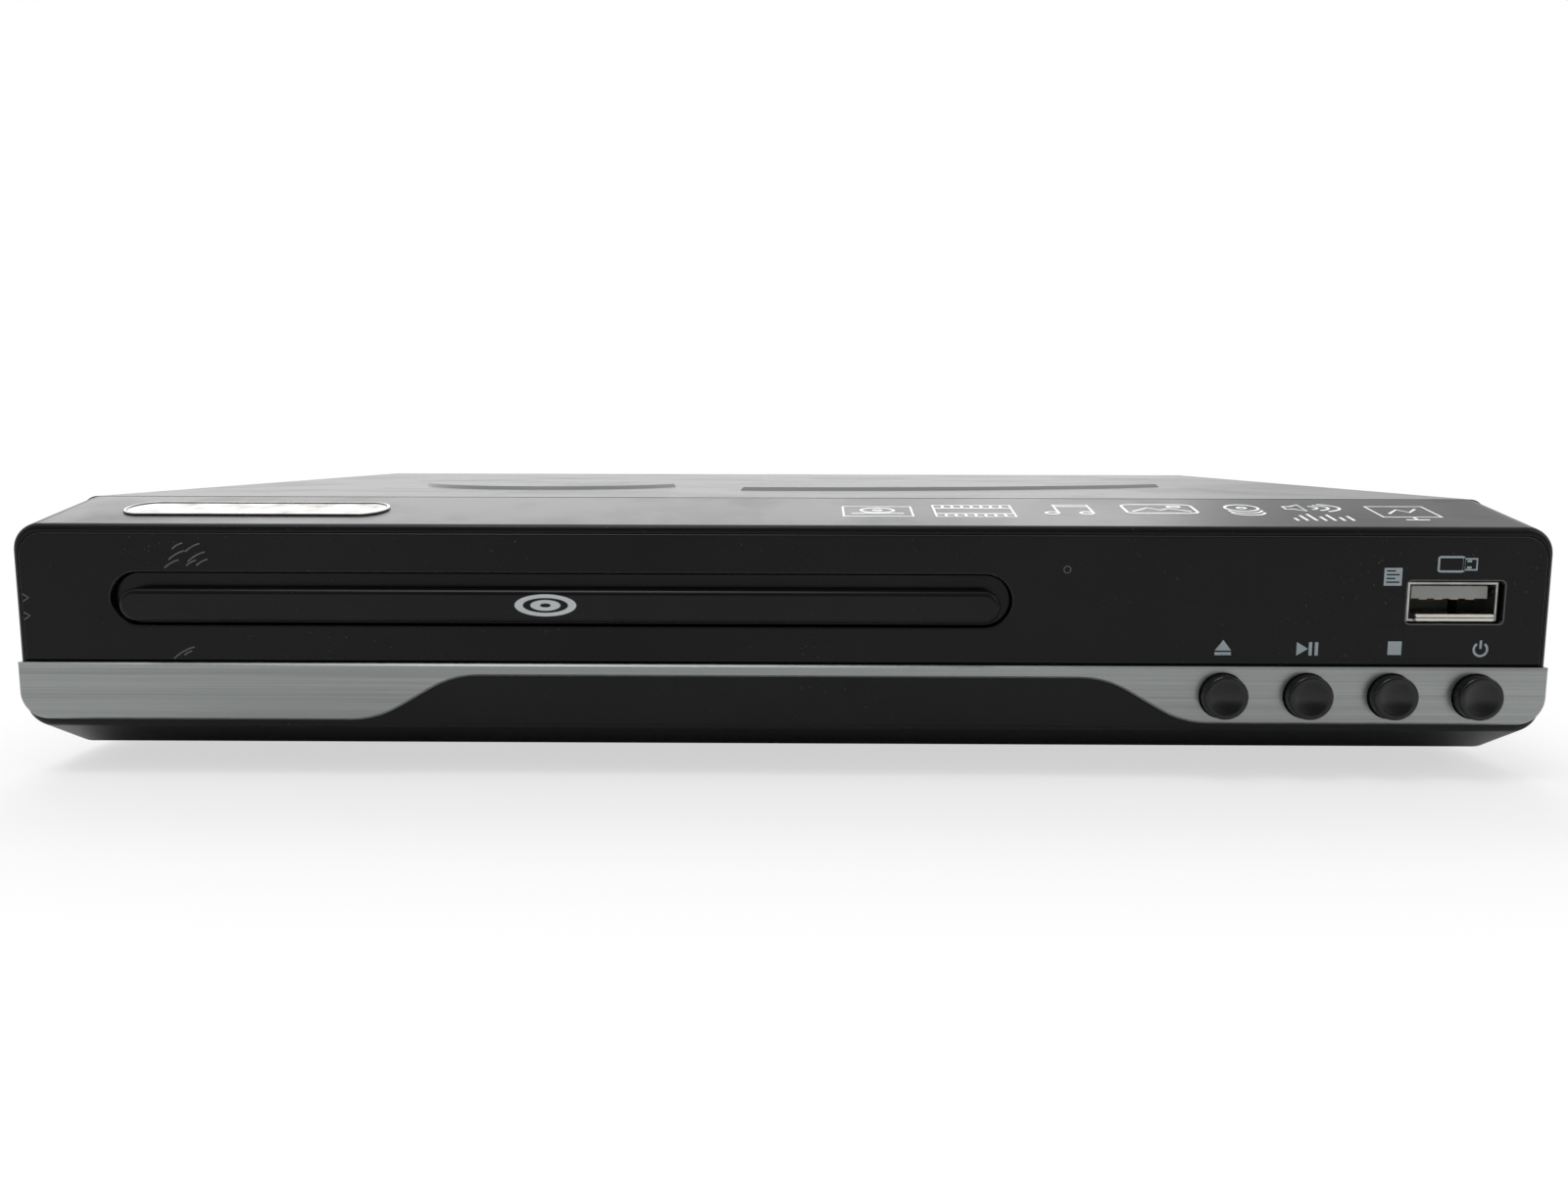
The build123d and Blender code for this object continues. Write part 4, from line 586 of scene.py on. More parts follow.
class Finishes:
    """Every finish on the player, built once."""

    def __init__(self) -> None:
        """Builds the materials."""
        jacks = [v * 0.5 for v in (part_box("jack_inserts")[0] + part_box("jack_inserts")[1])]
        # The cover's paler bevels and embossed ridges are a painted highlight.
        self.cover = Plastic(
            "satin_black_paint", (0.026, 0.027, 0.029), 0.40, 0.016, 3400.0, 0.12, specks=0.07,
            scratches=0.15, dust=0.5, coat=0.08, specular=0.42, edges=0.45, edge_reach=0.104,
        ).build()
        self.panel = Plastic(
            "satin_black_front", (0.0045, 0.0045, 0.0055), 0.34, 0.006, 3600.0, 0.2, scratches=0.3,
            dust=0.4, specular=0.18,
        ).build()
        # The window's paler edges are a painted highlight.
        self.lens = Plastic(
            "smoked_window", (0.0055, 0.0055, 0.0065), 0.13, 0.0008, 1800.0, 0.3, scratches=0.25,
            dust=0.6, specular=0.13, edges=0.05,
        ).build()
        self.door = Plastic(
            "door_black", (0.0062, 0.0062, 0.0072), 0.24, 0.0025, 3000.0, 0.25, scratches=0.1,
            dust=0.4, specular=0.16,
        ).build()
        self.button = Plastic(
            "button_black", (0.006, 0.006, 0.007), 0.30, 0.003, 4200.0, 0.3, scratches=0.3, dust=0.5,
            specular=0.35,
        ).build()
        self.trim = BrushedMetal(
            "brushed_silver_film", (0.275, 0.29, 0.285), 0.34, Grain.ACROSS, 0.003, 0.16, 0.9, 0.3,
            0.25,
        ).build()
        self.badge = PlatedMetal("badge_chrome", (0.115, 0.107, 0.096), 0.14, 0.10, 0.85).build()
        self.tray = Plastic("tray_black", (0.016, 0.016, 0.017), 0.42, 0.01, 2600.0, 0.2).build()
        self.frame = Plastic("frame_black", (0.028, 0.028, 0.03), 0.55, 0.015, 2200.0, 0.3, dust=0.7).build()
        self.natural = Plastic("natural_white_plastic", (0.72, 0.70, 0.63), 0.38, 0.006, 1500.0, 0.08).build()
        self.steel = BrushedMetal(
            "zinc_plated_sheet", (0.58, 0.59, 0.58), 0.38, Grain.ROLLED, 0.004, 0.12,
        ).build()
        self.rod = BrushedMetal("ground_rod", (0.72, 0.72, 0.71), 0.16, Grain.ALONG, 0.001, 0.08).build()
        self.can = BrushedMetal(
            "motor_can_steel", (0.60, 0.60, 0.58), 0.28, Grain.UPRIGHT, 0.002, 0.12,
        ).build()
        self.fins = BrushedMetal(
            "drawn_aluminium", (0.66, 0.67, 0.68), 0.4, Grain.UPRIGHT, 0.005, 0.12,
        ).build()
        self.nickel = PlatedMetal("nickel_plate", (0.72, 0.70, 0.66), 0.22, 0.01, 0.3).build()
        self.rim = PlatedMetal("badge_rim_chrome", (0.17, 0.16, 0.15), 0.16, 0.01, 0.4).build()
        self.shell = PlatedMetal("socket_shell_nickel", (0.42, 0.41, 0.39), 0.24, 0.03, 0.25).build()
        self.gold = PlatedMetal("gilt_contacts", (0.35, 0.28, 0.15), 0.3, 0.01, 0.35).build()
        self.rubber = Plastic(
            "foot_rubber", (0.014, 0.014, 0.014), 0.8, 0.03, 1400.0, 0.3, dust=1.0, specular=0.3,
        ).build()
        self.belt = Plastic("belt_rubber", (0.02, 0.02, 0.02), 0.65, 0.006, 2600.0, 0.2, dust=0.6).build()
        self.board = Laminate("green_board").build()
        self.paper = Laminate("tan_board", (0.30, 0.19, 0.08), (0.40, 0.27, 0.12), 260.0).build()
        self.chip = Plastic("chip_epoxy", (0.018, 0.018, 0.018), 0.6, 0.02, 2600.0, 0.2).build()
        self.sleeve = Plastic("capacitor_sleeve", (0.012, 0.016, 0.05), 0.3, 0.004, 900.0, 0.3).build()
        self.tape = Plastic("winding_tape", (0.62, 0.42, 0.04), 0.35, 0.03, 700.0, 0.2).build()
        self.socket = Plastic(
            "socket_black", (0.018, 0.018, 0.018), 0.45, 0.01, 2200.0, 0.2, dust=0.7,
        ).build()
        self.tongue = Plastic(
            "socket_tongue_grey", (0.30, 0.315, 0.30), 0.5, 0.01, 1800.0, 0.15, dust=0.6,
        ).build()
        self.display = Plastic("display_smoke", (0.010, 0.004, 0.004), 0.25, 0.002, 900.0, 0.3).build()
        self.cable = StripedCable("flat_cable_grey").build()
        self.sheath = Plastic("cable_sheath", (0.45, 0.45, 0.44), 0.5, 0.01, 900.0, 0.15).build()
        self.jacks = SocketColours("jack_colours", (jacks[0], jacks[2])).build()
        self.glass = CoatedGlass("pickup_glass").build()
        self.ink = Ink("wing_ink", (0.86, 0.90, 0.88)).build()
        self.sign = Ink("sign_ink", (0.30, 0.35, 0.38), 0.15).build()
        self.mark = Ink("door_ink", (0.55, 0.59, 0.60), 0.2).build()
        self.scuff = Ink("scuff_grey", (0.10, 0.105, 0.105), 0.9, 0.6).build()


# ---- Mesh making ---------------------------------------------------------------------------------
def circle(x: float, y: float, radius: float, steps: int = 48, squeeze: float = 1.0) -> list[Point]:
    """Returns the points of a circle, or of an ellipse whose second half-axis is squeezed."""
    angles = [2 * math.pi * i / steps for i in range(steps)]
    return [(x + radius * math.cos(a), y + squeeze * radius * math.sin(a)) for a in angles]


def corners_of(left: float, right: float, low: float, high: float) -> list[Point]:
    """Returns the four corners of an upright box, from the lower left round to the upper left."""
    return [(left, low), (right, low), (right, high), (left, high)]


def rounded(points: Sequence[Point], radii: Sequence[float], steps: int = 8) -> list[Point]:
    """Rounds the corners of a closed outline.

    Args:
        points: The corners in order.
        radii: One radius for each corner.
        steps: How many runs each corner's arc has.

    Returns:
        The outline's points, arcs included.
    """
    outline: list[Point] = []
    for i, (corner, radius) in enumerate(zip(points, radii)):
        here = Vector(corner)
        back = (Vector(points[i - 1]) - here).normalized()
        ahead = (Vector(points[(i + 1) % len(points)]) - here).normalized()
        half = back.angle(ahead) / 2
        if radius <= 0 or half > 1.55:
            outline.append(tuple(here))
            continue
        start, end = here + back * radius / math.tan(half), here + ahead * radius / math.tan(half)
        centre = here + (back + ahead).normalized() * radius / math.sin(half)
        first, sweep = start - centre, (start - centre).angle_signed(end - centre)
        for k in range(steps + 1):
            angle = -sweep * k / steps
            turned = Matrix.Rotation(angle, 2) @ first
            outline.append(tuple(centre + turned))
    return outline


def pill(x: float, y: float, width: float, height: float, steps: int = 8) -> list[Point]:
    """Returns a bar's outline, its short ends fully round."""
    corners = corners_of(x - width / 2, x + width / 2, y - height / 2, y + height / 2)
    return rounded(corners, [height / 2 - 1e-4] * 4, steps)


def front_plane(y: float) -> Matrix:
    """A plane that faces the front at a Y in metres: its x is X, and its y is the height."""
    return Matrix(((1, 0, 0, 0), (0, 0, -1, y), (0, 1, 0, 0), (0, 0, 0, 1)))


def curve_of(name: str, outlines: Iterable[Sequence[Point]], closed: bool = True,
             flat: bool = True) -> bpy.types.Curve:
    """Makes a curve of straight-run outlines.

    Args:
        name: The curve's name.
        outlines: The outlines, in millimetres.
        closed: Whether each one closes on itself.
        flat: Whether the curve is a filled flat one.

    Returns:
        The curve, in metres.
    """
    curve = bpy.data.curves.new(name, "CURVE")
    curve.dimensions = "2D" if flat else "3D"
    for outline in outlines:
        spline = curve.splines.new("POLY")
        spline.points.add(len(outline) - 1)
        for point, (x, y) in zip(spline.points, outline):
            point.co = (x * MM, y * MM, 0, 1)
        spline.use_cyclic_u = closed
    return curve


def mesh_of(data: bpy.types.ID, name: str) -> Mesh:
    """Turns a curve into a plain mesh and removes the curve's object."""
    carrier = bpy.data.objects.new(name, data)
    bpy.context.scene.collection.objects.link(carrier)
    depsgraph = bpy.context.evaluated_depsgraph_get()
    mesh = bpy.data.meshes.new_from_object(carrier.evaluated_get(depsgraph))
    bpy.data.objects.remove(carrier)
    return mesh


def plate(name: str, outlines: Iterable[Sequence[Point]], thickness: float, edge: float,
          place: Matrix) -> Mesh:
    """Makes a flat plate with holes and softened edges.

    Args:
        name: The mesh's name.
        outlines: The outer outline, then its holes.
        thickness: The plate's whole thickness.
        edge: The radius of its edges.
        place: The plane of its back face, which it grows from along the plane's own z.

    Returns:
        The plate's mesh.
    """
    curve = curve_of(name, outlines)
    curve.fill_mode = "BOTH"
    curve.extrude = (thickness / 2 - edge) * MM
    curve.bevel_depth = edge * MM
    curve.bevel_resolution = 2
    curve.offset = -edge * MM
    mesh = mesh_of(curve, name)
    mesh.transform(place @ Matrix.Translation((0, 0, thickness / 2 * MM)))
    tidy(mesh)
    return mesh


def tidy(mesh: bpy.types.Mesh) -> None:
    """Merges a mesh's doubles and turns its faces outwards."""
    work = bmesh.new()
    work.from_mesh(mesh)
    bmesh.ops.remove_doubles(work, verts=work.verts, dist=1e-7)
    bmesh.ops.recalc_face_normals(work, faces=work.faces)
    work.to_mesh(mesh)
    work.free()


def lathe(name: str, profile: Sequence[Point], place: Matrix, steps: int = 64) -> Mesh:
    """Turns a profile about the z axis of a place.

    Args:
        name: The mesh's name.
        profile: Radius and height of each point, the first and last on the axis.
        place: Where the axis stands.
        steps: How many facets go round.

    Returns:
        A closed mesh.
    """
    work = bmesh.new()
    rings: list[list[bmesh.types.BMVert]] = []
    for radius, height in profile:
        if radius < 1e-6:
            rings.append([work.verts.new((0, 0, height * MM))])
            continue
        rings.append([work.verts.new((x * MM, y * MM, height * MM)) for x, y in circle(0, 0, radius, steps)])
    for lower, upper in zip(rings, rings[1:]):
        for i in range(steps):
            a, b = lower[i % len(lower)], lower[(i + 1) % len(lower)]
            c, d = upper[(i + 1) % len(upper)], upper[i % len(upper)]
            corners = list(dict.fromkeys((a, b, c, d)))
            if len(corners) > 2:
                work.faces.new(corners)
    bmesh.ops.recalc_face_normals(work, faces=work.faces)
    mesh = bpy.data.meshes.new(name)
    work.to_mesh(mesh)
    work.free()
    mesh.transform(place)
    return mesh


def joined(name: str, meshes: Sequence[Mesh]) -> Mesh:
    """Puts several meshes together in one."""
    work = bmesh.new()
    for part in meshes:
        work.from_mesh(part)
    mesh = bpy.data.meshes.new(name)
    work.to_mesh(mesh)
    work.free()
    return mesh


def piece(name: str, mesh: Mesh, body: str, finish: bpy.types.Material,
          stands_for: Sequence[str] = (), angle: float = 38.0) -> bpy.types.Object:
    """Finishes a mesh as a piece of the player.

    Args:
        name: The piece's name.
        mesh: Its mesh, in place.
        body: The body that it rides on.
        finish: Its material.
        stands_for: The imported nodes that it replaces.
        angle: Edges sharper than this stay crisp.

    Returns:
        The piece.
    """
    mesh.name = name
    mesh.materials.clear()
    mesh.materials.append(finish)
    mesh.shade_smooth()
    mesh.set_sharp_from_angle(angle=math.radians(angle))
    made = bpy.data.objects.new(name, mesh)
    bpy.context.scene.collection.objects.link(made)
    weighted = made.modifiers.new("even_normals", "WEIGHTED_NORMAL")
    weighted.keep_sharp = True
    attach(made, body)
    if stands_for:
        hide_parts(*stands_for)
    LOG.info("%s: %d faces on %s", name, len(mesh.polygons), body)
    return made


class GeometryTool:
    """A geometry node tree that repeats a shape or follows a path, and ends in one dressed, plain mesh."""

    def __init__(self, name: str, **inputs: float) -> None:
        """Starts the tree.

        Args:
            name: The tree's name.
            inputs: The named sizes that it takes, with their defaults in metres or counts.
        """
        self.tree = bpy.data.node_groups.new(name, "GeometryNodeTree")
        face = self.tree.interface
        face.new_socket("Geometry", in_out="INPUT", socket_type="NodeSocketGeometry")
        for label, default in inputs.items():
            socket = face.new_socket(label, in_out="INPUT", socket_type="NodeSocketFloat")
            socket.default_value = default
        face.new_socket("Rotation", in_out="INPUT", socket_type="NodeSocketVector")
        face.new_socket("Material", in_out="INPUT", socket_type="NodeSocketMaterial")
        face.new_socket("Geometry", in_out="OUTPUT", socket_type="NodeSocketGeometry")
        self.graph = Graph(self.tree)
        self.given = self.graph.add("NodeGroupInput")
        self.shape(self.graph, self.given.outputs)

    def shape(self, graph: Graph, given: Any) -> None:
        """Builds the tree's own part; each tool has its own.

        Args:
            graph: The tree's graph.
            given: The sockets of the tree's inputs.
        """
        raise NotImplementedError

    def close(self, geometry: bpy.types.NodeSocket) -> None:
        """Ends the tree: what was made becomes real and takes its material."""
        real = self.graph.add("GeometryNodeRealizeInstances", {"Geometry": geometry}).outputs[0]
        values = {"Geometry": real, "Material": self.given.outputs["Material"]}
        dressed = self.graph.add("GeometryNodeSetMaterial", values).outputs[0]
        self.graph.add("NodeGroupOutput", {"Geometry": dressed})

    def run(self, name: str, source: bpy.types.ID, finish: bpy.types.Material, **values: Any) -> Mesh:
        """Runs the tree on a mesh or curve.

        Args:
            name: The result's name.
            source: The points or paths that it works on.
            finish: The result's material.
            values: Inputs by name.

        Returns:
            A plain mesh.
        """
        carrier = bpy.data.objects.new(name + "_paths", source)
        bpy.context.scene.collection.objects.link(carrier)
        modifier = carrier.modifiers.new("tool", "NODES")
        modifier.node_group = self.tree
        values["Material"] = finish
        for item in self.tree.interface.items_tree:
            if item.in_out == "INPUT" and item.name in values:
                modifier[item.identifier] = values[item.name]
        carrier.update_tag()
        depsgraph = bpy.context.evaluated_depsgraph_get()
        depsgraph.update()
        mesh = bpy.data.meshes.new_from_object(carrier.evaluated_get(depsgraph))
        carrier.modifiers.remove(modifier)
        bpy.data.objects.remove(carrier)
        tidy(mesh)
        return mesh


class StrokeTool(GeometryTool):
    """Gives drawn lines a flat width and a thickness of ink."""

    def shape(self, graph: Graph, given: Any) -> None:
        """Sweeps a flat strip along every line."""
        level = graph.add("GeometryNodeSetCurveNormal", {"Curve": given["Geometry"]}, mode="Z_UP")
        values = {"Width": given["Width"], "Height": given["Thickness"]}
        strip = graph.add("GeometryNodeCurvePrimitiveQuadrilateral", values)
        values = {"Curve": level.outputs[0], "Profile Curve": strip.outputs[0], "Fill Caps": True}
        self.close(graph.add("GeometryNodeCurveToMesh", values).outputs[0])


class ScrewTool(GeometryTool):
    """Puts a domed screw head with a cross recess, and its shank, on every point."""

    def shape(self, graph: Graph, given: Any) -> None:
        """Builds one screw along +Z and places it on the points, turned as asked."""
        radius, height, length = given["Radius"], given["Height"], given["Length"]
        values = {"Vertices": 28, "Side Segments": 1, "Radius Top": graph.product(radius, 0.62),
                  "Radius Bottom": radius, "Depth": graph.product(height, 0.55)}
        dome = self.raised(graph.add("GeometryNodeMeshCone", values, fill_type="NGON"), height, 0.45)
        base = self.raised(self.rod(28, radius, graph.product(height, 0.45)), height, 0.225)
        arms = graph.add("GeometryNodeJoinGeometry")
        long, short = graph.product(radius, 1.05), graph.product(radius, 0.24)
        for x, y in ((long, short), (short, long)):
            size = graph.add("ShaderNodeCombineXYZ", {0: x, 1: y, 2: height}).outputs[0]
            arm = self.raised(graph.add("GeometryNodeMeshCube", {"Size": size}), height, 1.0)
            graph.tree.links.new(arm, arms.inputs[0])
        values = {"Mesh 1": dome, "Mesh 2": arms.outputs[0]}
        cut = graph.add("GeometryNodeMeshBoolean", values, operation="DIFFERENCE").outputs[0]
        shank = self.raised(self.rod(20, given["Shank"], length), length, -0.5)
        screw = graph.add("GeometryNodeJoinGeometry")
        for part in (cut, base, shank):
            graph.tree.links.new(part, screw.inputs[0])
        values = {"Points": given["Geometry"], "Instance": screw.outputs[0], "Rotation": given["Rotation"]}
        self.close(graph.add("GeometryNodeInstanceOnPoints", values).outputs[0])

    def rod(self, sides: int, radius: Any, depth: Any) -> bpy.types.Node:
        """Adds a closed cylinder about the middle."""
        values = {"Vertices": sides, "Radius": radius, "Depth": depth}
        return self.graph.add("GeometryNodeMeshCylinder", values, fill_type="NGON")

    def raised(self, shape: bpy.types.Node, height: Any, share: float) -> bpy.types.NodeSocket:
        """Moves a shape up by a share of a height and returns its geometry."""
        rise = self.graph.add("ShaderNodeCombineXYZ", {2: self.graph.product(height, share)}).outputs[0]
        values = {"Geometry": shape.outputs[0], "Translation": rise}
        return self.graph.add("GeometryNodeTransform", values).outputs[0]


STROKES = StrokeTool("printed_strokes", Width=0.0003, Thickness=0.00004)
SCREWS = ScrewTool("cross_screws", Radius=0.0028, Height=0.0016, Shank=0.0012, Length=0.005)


def points_mesh(points: Iterable[Sequence[float]]) -> Mesh:
    """Makes a mesh of loose points, given in metres."""
    mesh = bpy.data.meshes.new("points")
    mesh.from_pydata([tuple(p) for p in points], [], [])
    return mesh


def solids_of(node: str) -> list[tuple[Vector, Vector]]:
    """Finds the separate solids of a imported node.

    Args:
        node: The node's name.

    Returns:
        The lowest and highest corner of each solid, in metres.
    """
    work = bmesh.new()
    work.from_mesh(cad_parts[node].data)
    bmesh.ops.remove_doubles(work, verts=work.verts, dist=1e-6)
    found, seen = [], set()
    for start in work.verts:
        if start in seen:
            continue
        seen.add(start)
        group, queue = [], [start]
        while queue:
            vert = queue.pop()
            group.append(vert.co.copy())
            for edge in vert.link_edges:
                other = edge.other_vert(vert)
                if other not in seen:
                    seen.add(other)
                    queue.append(other)
        low = Vector([min(p[i] for p in group) for i in range(3)])
        high = Vector([max(p[i] for p in group) for i in range(3)])
        found.append((low, high))
    work.free()
    return found


def dress(finish: bpy.types.Material, *nodes: str) -> None:
    """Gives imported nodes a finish."""
    for node in nodes:
        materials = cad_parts[node].data.materials
        materials.clear()
        materials.append(finish)
        LOG.info("%s: %s", node, finish.name)


# ---- Sub-assemblies ------------------------------------------------------------------------------
@dataclass
class Mark:
    """A printed pictogram, drawn in a unit square and fitted to a box.

    Attributes:
        lines: Open runs of points, from 0 to 1 each way.
        loops: Closed runs of points.
    """

    lines: list[list[Point]] = field(default_factory=list)
    loops: list[list[Point]] = field(default_factory=list)

    def fitted(self, runs: Iterable[Sequence[Point]], box: Sequence[float]) -> list[list[Point]]:
        """Scales runs to a box of left, right, low and high."""
        left, right, low, high = box
        return [[(left + x * (right - left), low + y * (high - low)) for x, y in run] for run in runs]

    def strokes(self, box: Sequence[float], width: float, finish: bpy.types.Material,
                place: Matrix) -> list[Mesh]:
        """Draws the pictogram.

        Args:
            box: Left, right, low and high, in the plane's own axes.
            width: The lines' width.
            finish: The ink.
            place: The plane that it is printed on.

        Returns:
            The meshes of its lines and loops.
        """
        parts = ((self.lines, False), (self.loops, True))
        return [drawn(self.fitted(runs, box), closed, width, INK_THICKNESS, finish, place)
                for runs, closed in parts if runs]


def drawn(runs: Iterable[Sequence[Point]], closed: bool, width: float, thickness: float,
          finish: bpy.types.Material, place: Matrix) -> Mesh:
    """Draws runs of points as flat strips.

    Args:
        runs: The runs.
        closed: Whether each one closes on itself.
        width: The strips' width.
        thickness: The strips' thickness.
        finish: Their material.
        place: The plane that they lie on.

    Returns:
        The strips' mesh.
    """
    curve = curve_of("stroke", runs, closed, flat=False)
    mesh = STROKES.run("stroke", curve, finish, Width=width * MM, Thickness=thickness * MM)
    mesh.transform(place)
    return mesh


def arc(x: float, y: float, radius: float, first: float, last: float, squeeze: float = 1.0) -> list[Point]:
    """Returns the points of an arc from one angle to another, in degrees."""
    steps = 20
    angles = [math.radians(first + (last - first) * i / steps) for i in range(steps + 1)]
    return [(x + radius * math.cos(a), y + squeeze * radius * math.sin(a)) for a in angles]


INK_THICKNESS = 0.03
SCRATCH_THICKNESS = 0.01
FRAME_LOOP = corners_of(0.0, 1.0, 0.0, 1.0)


class Pictograms(Enum):
    """The generic marks that are drawn in lines: the wing's printed row, and two of the front's signs."""

    DISC_IN_TRAY = Mark([[(0.12, 0.3), (0.88, 0.3)]],
                        [FRAME_LOOP, circle(0.5, 0.62, 0.24), circle(0.5, 0.62, 0.06)])
    FILM = Mark([[(0.0, 0.25), (1.0, 0.25)], [(0.0, 0.75), (1.0, 0.75)]]
                + [[(x / 8, 0.04), (x / 8, 0.2)] for x in range(1, 8)]
                + [[(x / 8, 0.8), (x / 8, 0.96)] for x in range(1, 8)], [FRAME_LOOP])
    NOTES = Mark([[(0.28, 0.15), (0.28, 0.95), (0.92, 0.95), (0.92, 0.15)], [(0.28, 0.78), (0.92, 0.78)]],
                 [circle(0.16, 0.13, 0.12), circle(0.80, 0.13, 0.12)])
    PICTURE = Mark([[(0.08, 0.2), (0.34, 0.62), (0.5, 0.38), (0.64, 0.55), (0.92, 0.2)]],
                   [rounded(FRAME_LOOP, [0.15] * 4), circle(0.74, 0.76, 0.09)])
    STACK = Mark([arc(0.5, 0.45, 0.48, 180, 360, 0.45), arc(0.5, 0.28, 0.48, 180, 360, 0.45)],
                 [circle(0.5, 0.66, 0.48, squeeze=0.55), circle(0.5, 0.66, 0.12, squeeze=0.55)])
    LEVELS = Mark([[(0.06 + 0.14 * i, 0.0), (0.06 + 0.14 * i, top)]
                   for i, top in enumerate((0.4, 0.8, 1, 0.6, 0.9, 0.5, 0.7))])
    WAVES = Mark([arc(0.3, 0.5, r, -55, 55) for r in (0.3, 0.5, 0.7)],
                 [[(0.0, 0.3), (0.14, 0.3), (0.32, 0.0), (0.32, 1.0), (0.14, 0.7), (0.0, 0.7)]])
    SCREEN = Mark([[(0.3, 0.0), (0.7, 0.0)], [(0.5, 0.0), (0.5, 0.2)],
                   [(0.2, 0.45), (0.45, 0.75), (0.6, 0.55), (0.8, 0.8)]], [corners_of(0.0, 1.0, 0.2, 1.0)])
    POWER = Mark([arc(0, 0, 1.0, 125, 415), [(0, 0.1), (0, 1.35)]])
    STICK = Mark([[(0.74, 0.28), (0.86, 0.28)], [(0.74, 0.72), (0.86, 0.72)]],
                 [rounded(corners_of(0, 0.66, 0, 1), [0.08] * 4), corners_of(0.66, 1, 0.12, 0.88)])


@dataclass
class PrintedWing:
    """The sloping top of the front panel with its printed row and badge.

    Attributes:
        rise: How far the wing climbs.
        run: How deep the wing is.
        line: The width of the printed lines.
        badge_rim: The width of both sides of the badge's rim together.
        row: The box of each mark: left, right, and front and back depth.
    """

    rise: float = 3.3
    run: float = 16.7
    line: float = 0.42
    badge_rim: float = 1.0
    row: tuple[tuple[Pictograms, tuple[float, float, float, float]], ...] = (
        (Pictograms.DISC_IN_TRAY, (9.7, 20.1, 5.6, 11.3)),
        (Pictograms.FILM, (23.6, 35.5, 5.6, 12.2)),
        (Pictograms.NOTES, (40.0, 48.2, 7.1, 12.9)),
        (Pictograms.PICTURE, (52.8, 63.5, 7.8, 13.0)),
        (Pictograms.STACK, (68.4, 73.6, 6.4, 13.6)),
        (Pictograms.WAVES, (77.6, 86.0, 9.4, 13.2)),
        (Pictograms.LEVELS, (76.2, 86.0, 3.8, 7.6)),
        (Pictograms.SCREEN, (90.3, 99.0, 4.4, 12.2)),
    )

    @property
    def stretch(self) -> float:
        """How much longer the slope is than its depth."""
        return math.hypot(self.rise, self.run) / self.run

    def place(self) -> Matrix:
        """Returns the wing's plane: x is X, y runs up the slope from the front edge."""
        low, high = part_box("front_panel")
        angle = math.atan2(self.rise, self.run)
        plane = Matrix.Rotation(angle, 4, "X")
        plane.translation = (0, low.y, high.z - self.rise * MM)
        return plane

    def build(self, finishes: Finishes) -> None:
        """Prints the row and dresses the badge."""
        place = self.place() @ Matrix.Translation((0, 0, 0.012 * MM))
        meshes = []
        for mark, (left, right, near, far) in self.row:
            box = (left, right, near * self.stretch, far * self.stretch)
            meshes += mark.value.strokes(box, self.line, finishes.ink, place)
        piece("wing_prints", joined("wing_prints", meshes), PLAYER, finishes.ink, angle=20)
        self.badge(finishes)

    def badge(self, finishes: Finishes) -> None:
        """Sets the thin chrome badge on the wing, its edge turned down all round."""
        low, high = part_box("badge_plate")
        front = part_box("front_panel")[0].y
        left, right, near, far = (v / MM for v in (low.x, high.x, low.y - front, high.y - front))
        x, y = (left + right) / 2, (near + far) / 2 * self.stretch
        width, height = right - left - 0.2, (far - near) * self.stretch - 0.1
        base = self.place() @ Matrix.Translation((0, 0, -0.1 * MM))
        rim = pill(x, y, width, height, 12)
        field_edge = pill(x, y, width - self.badge_rim, height - self.badge_rim, 12)
        ring = plate("badge_rim", [rim, field_edge], 0.42, 0.12, base)
        piece("badge_rim", ring, PLAYER, finishes.rim)
        face = plate("badge_face", [field_edge], 0.3, 0.05, base)
        piece("chrome_badge", face, PLAYER, finishes.badge, ("badge_plate",), 60)


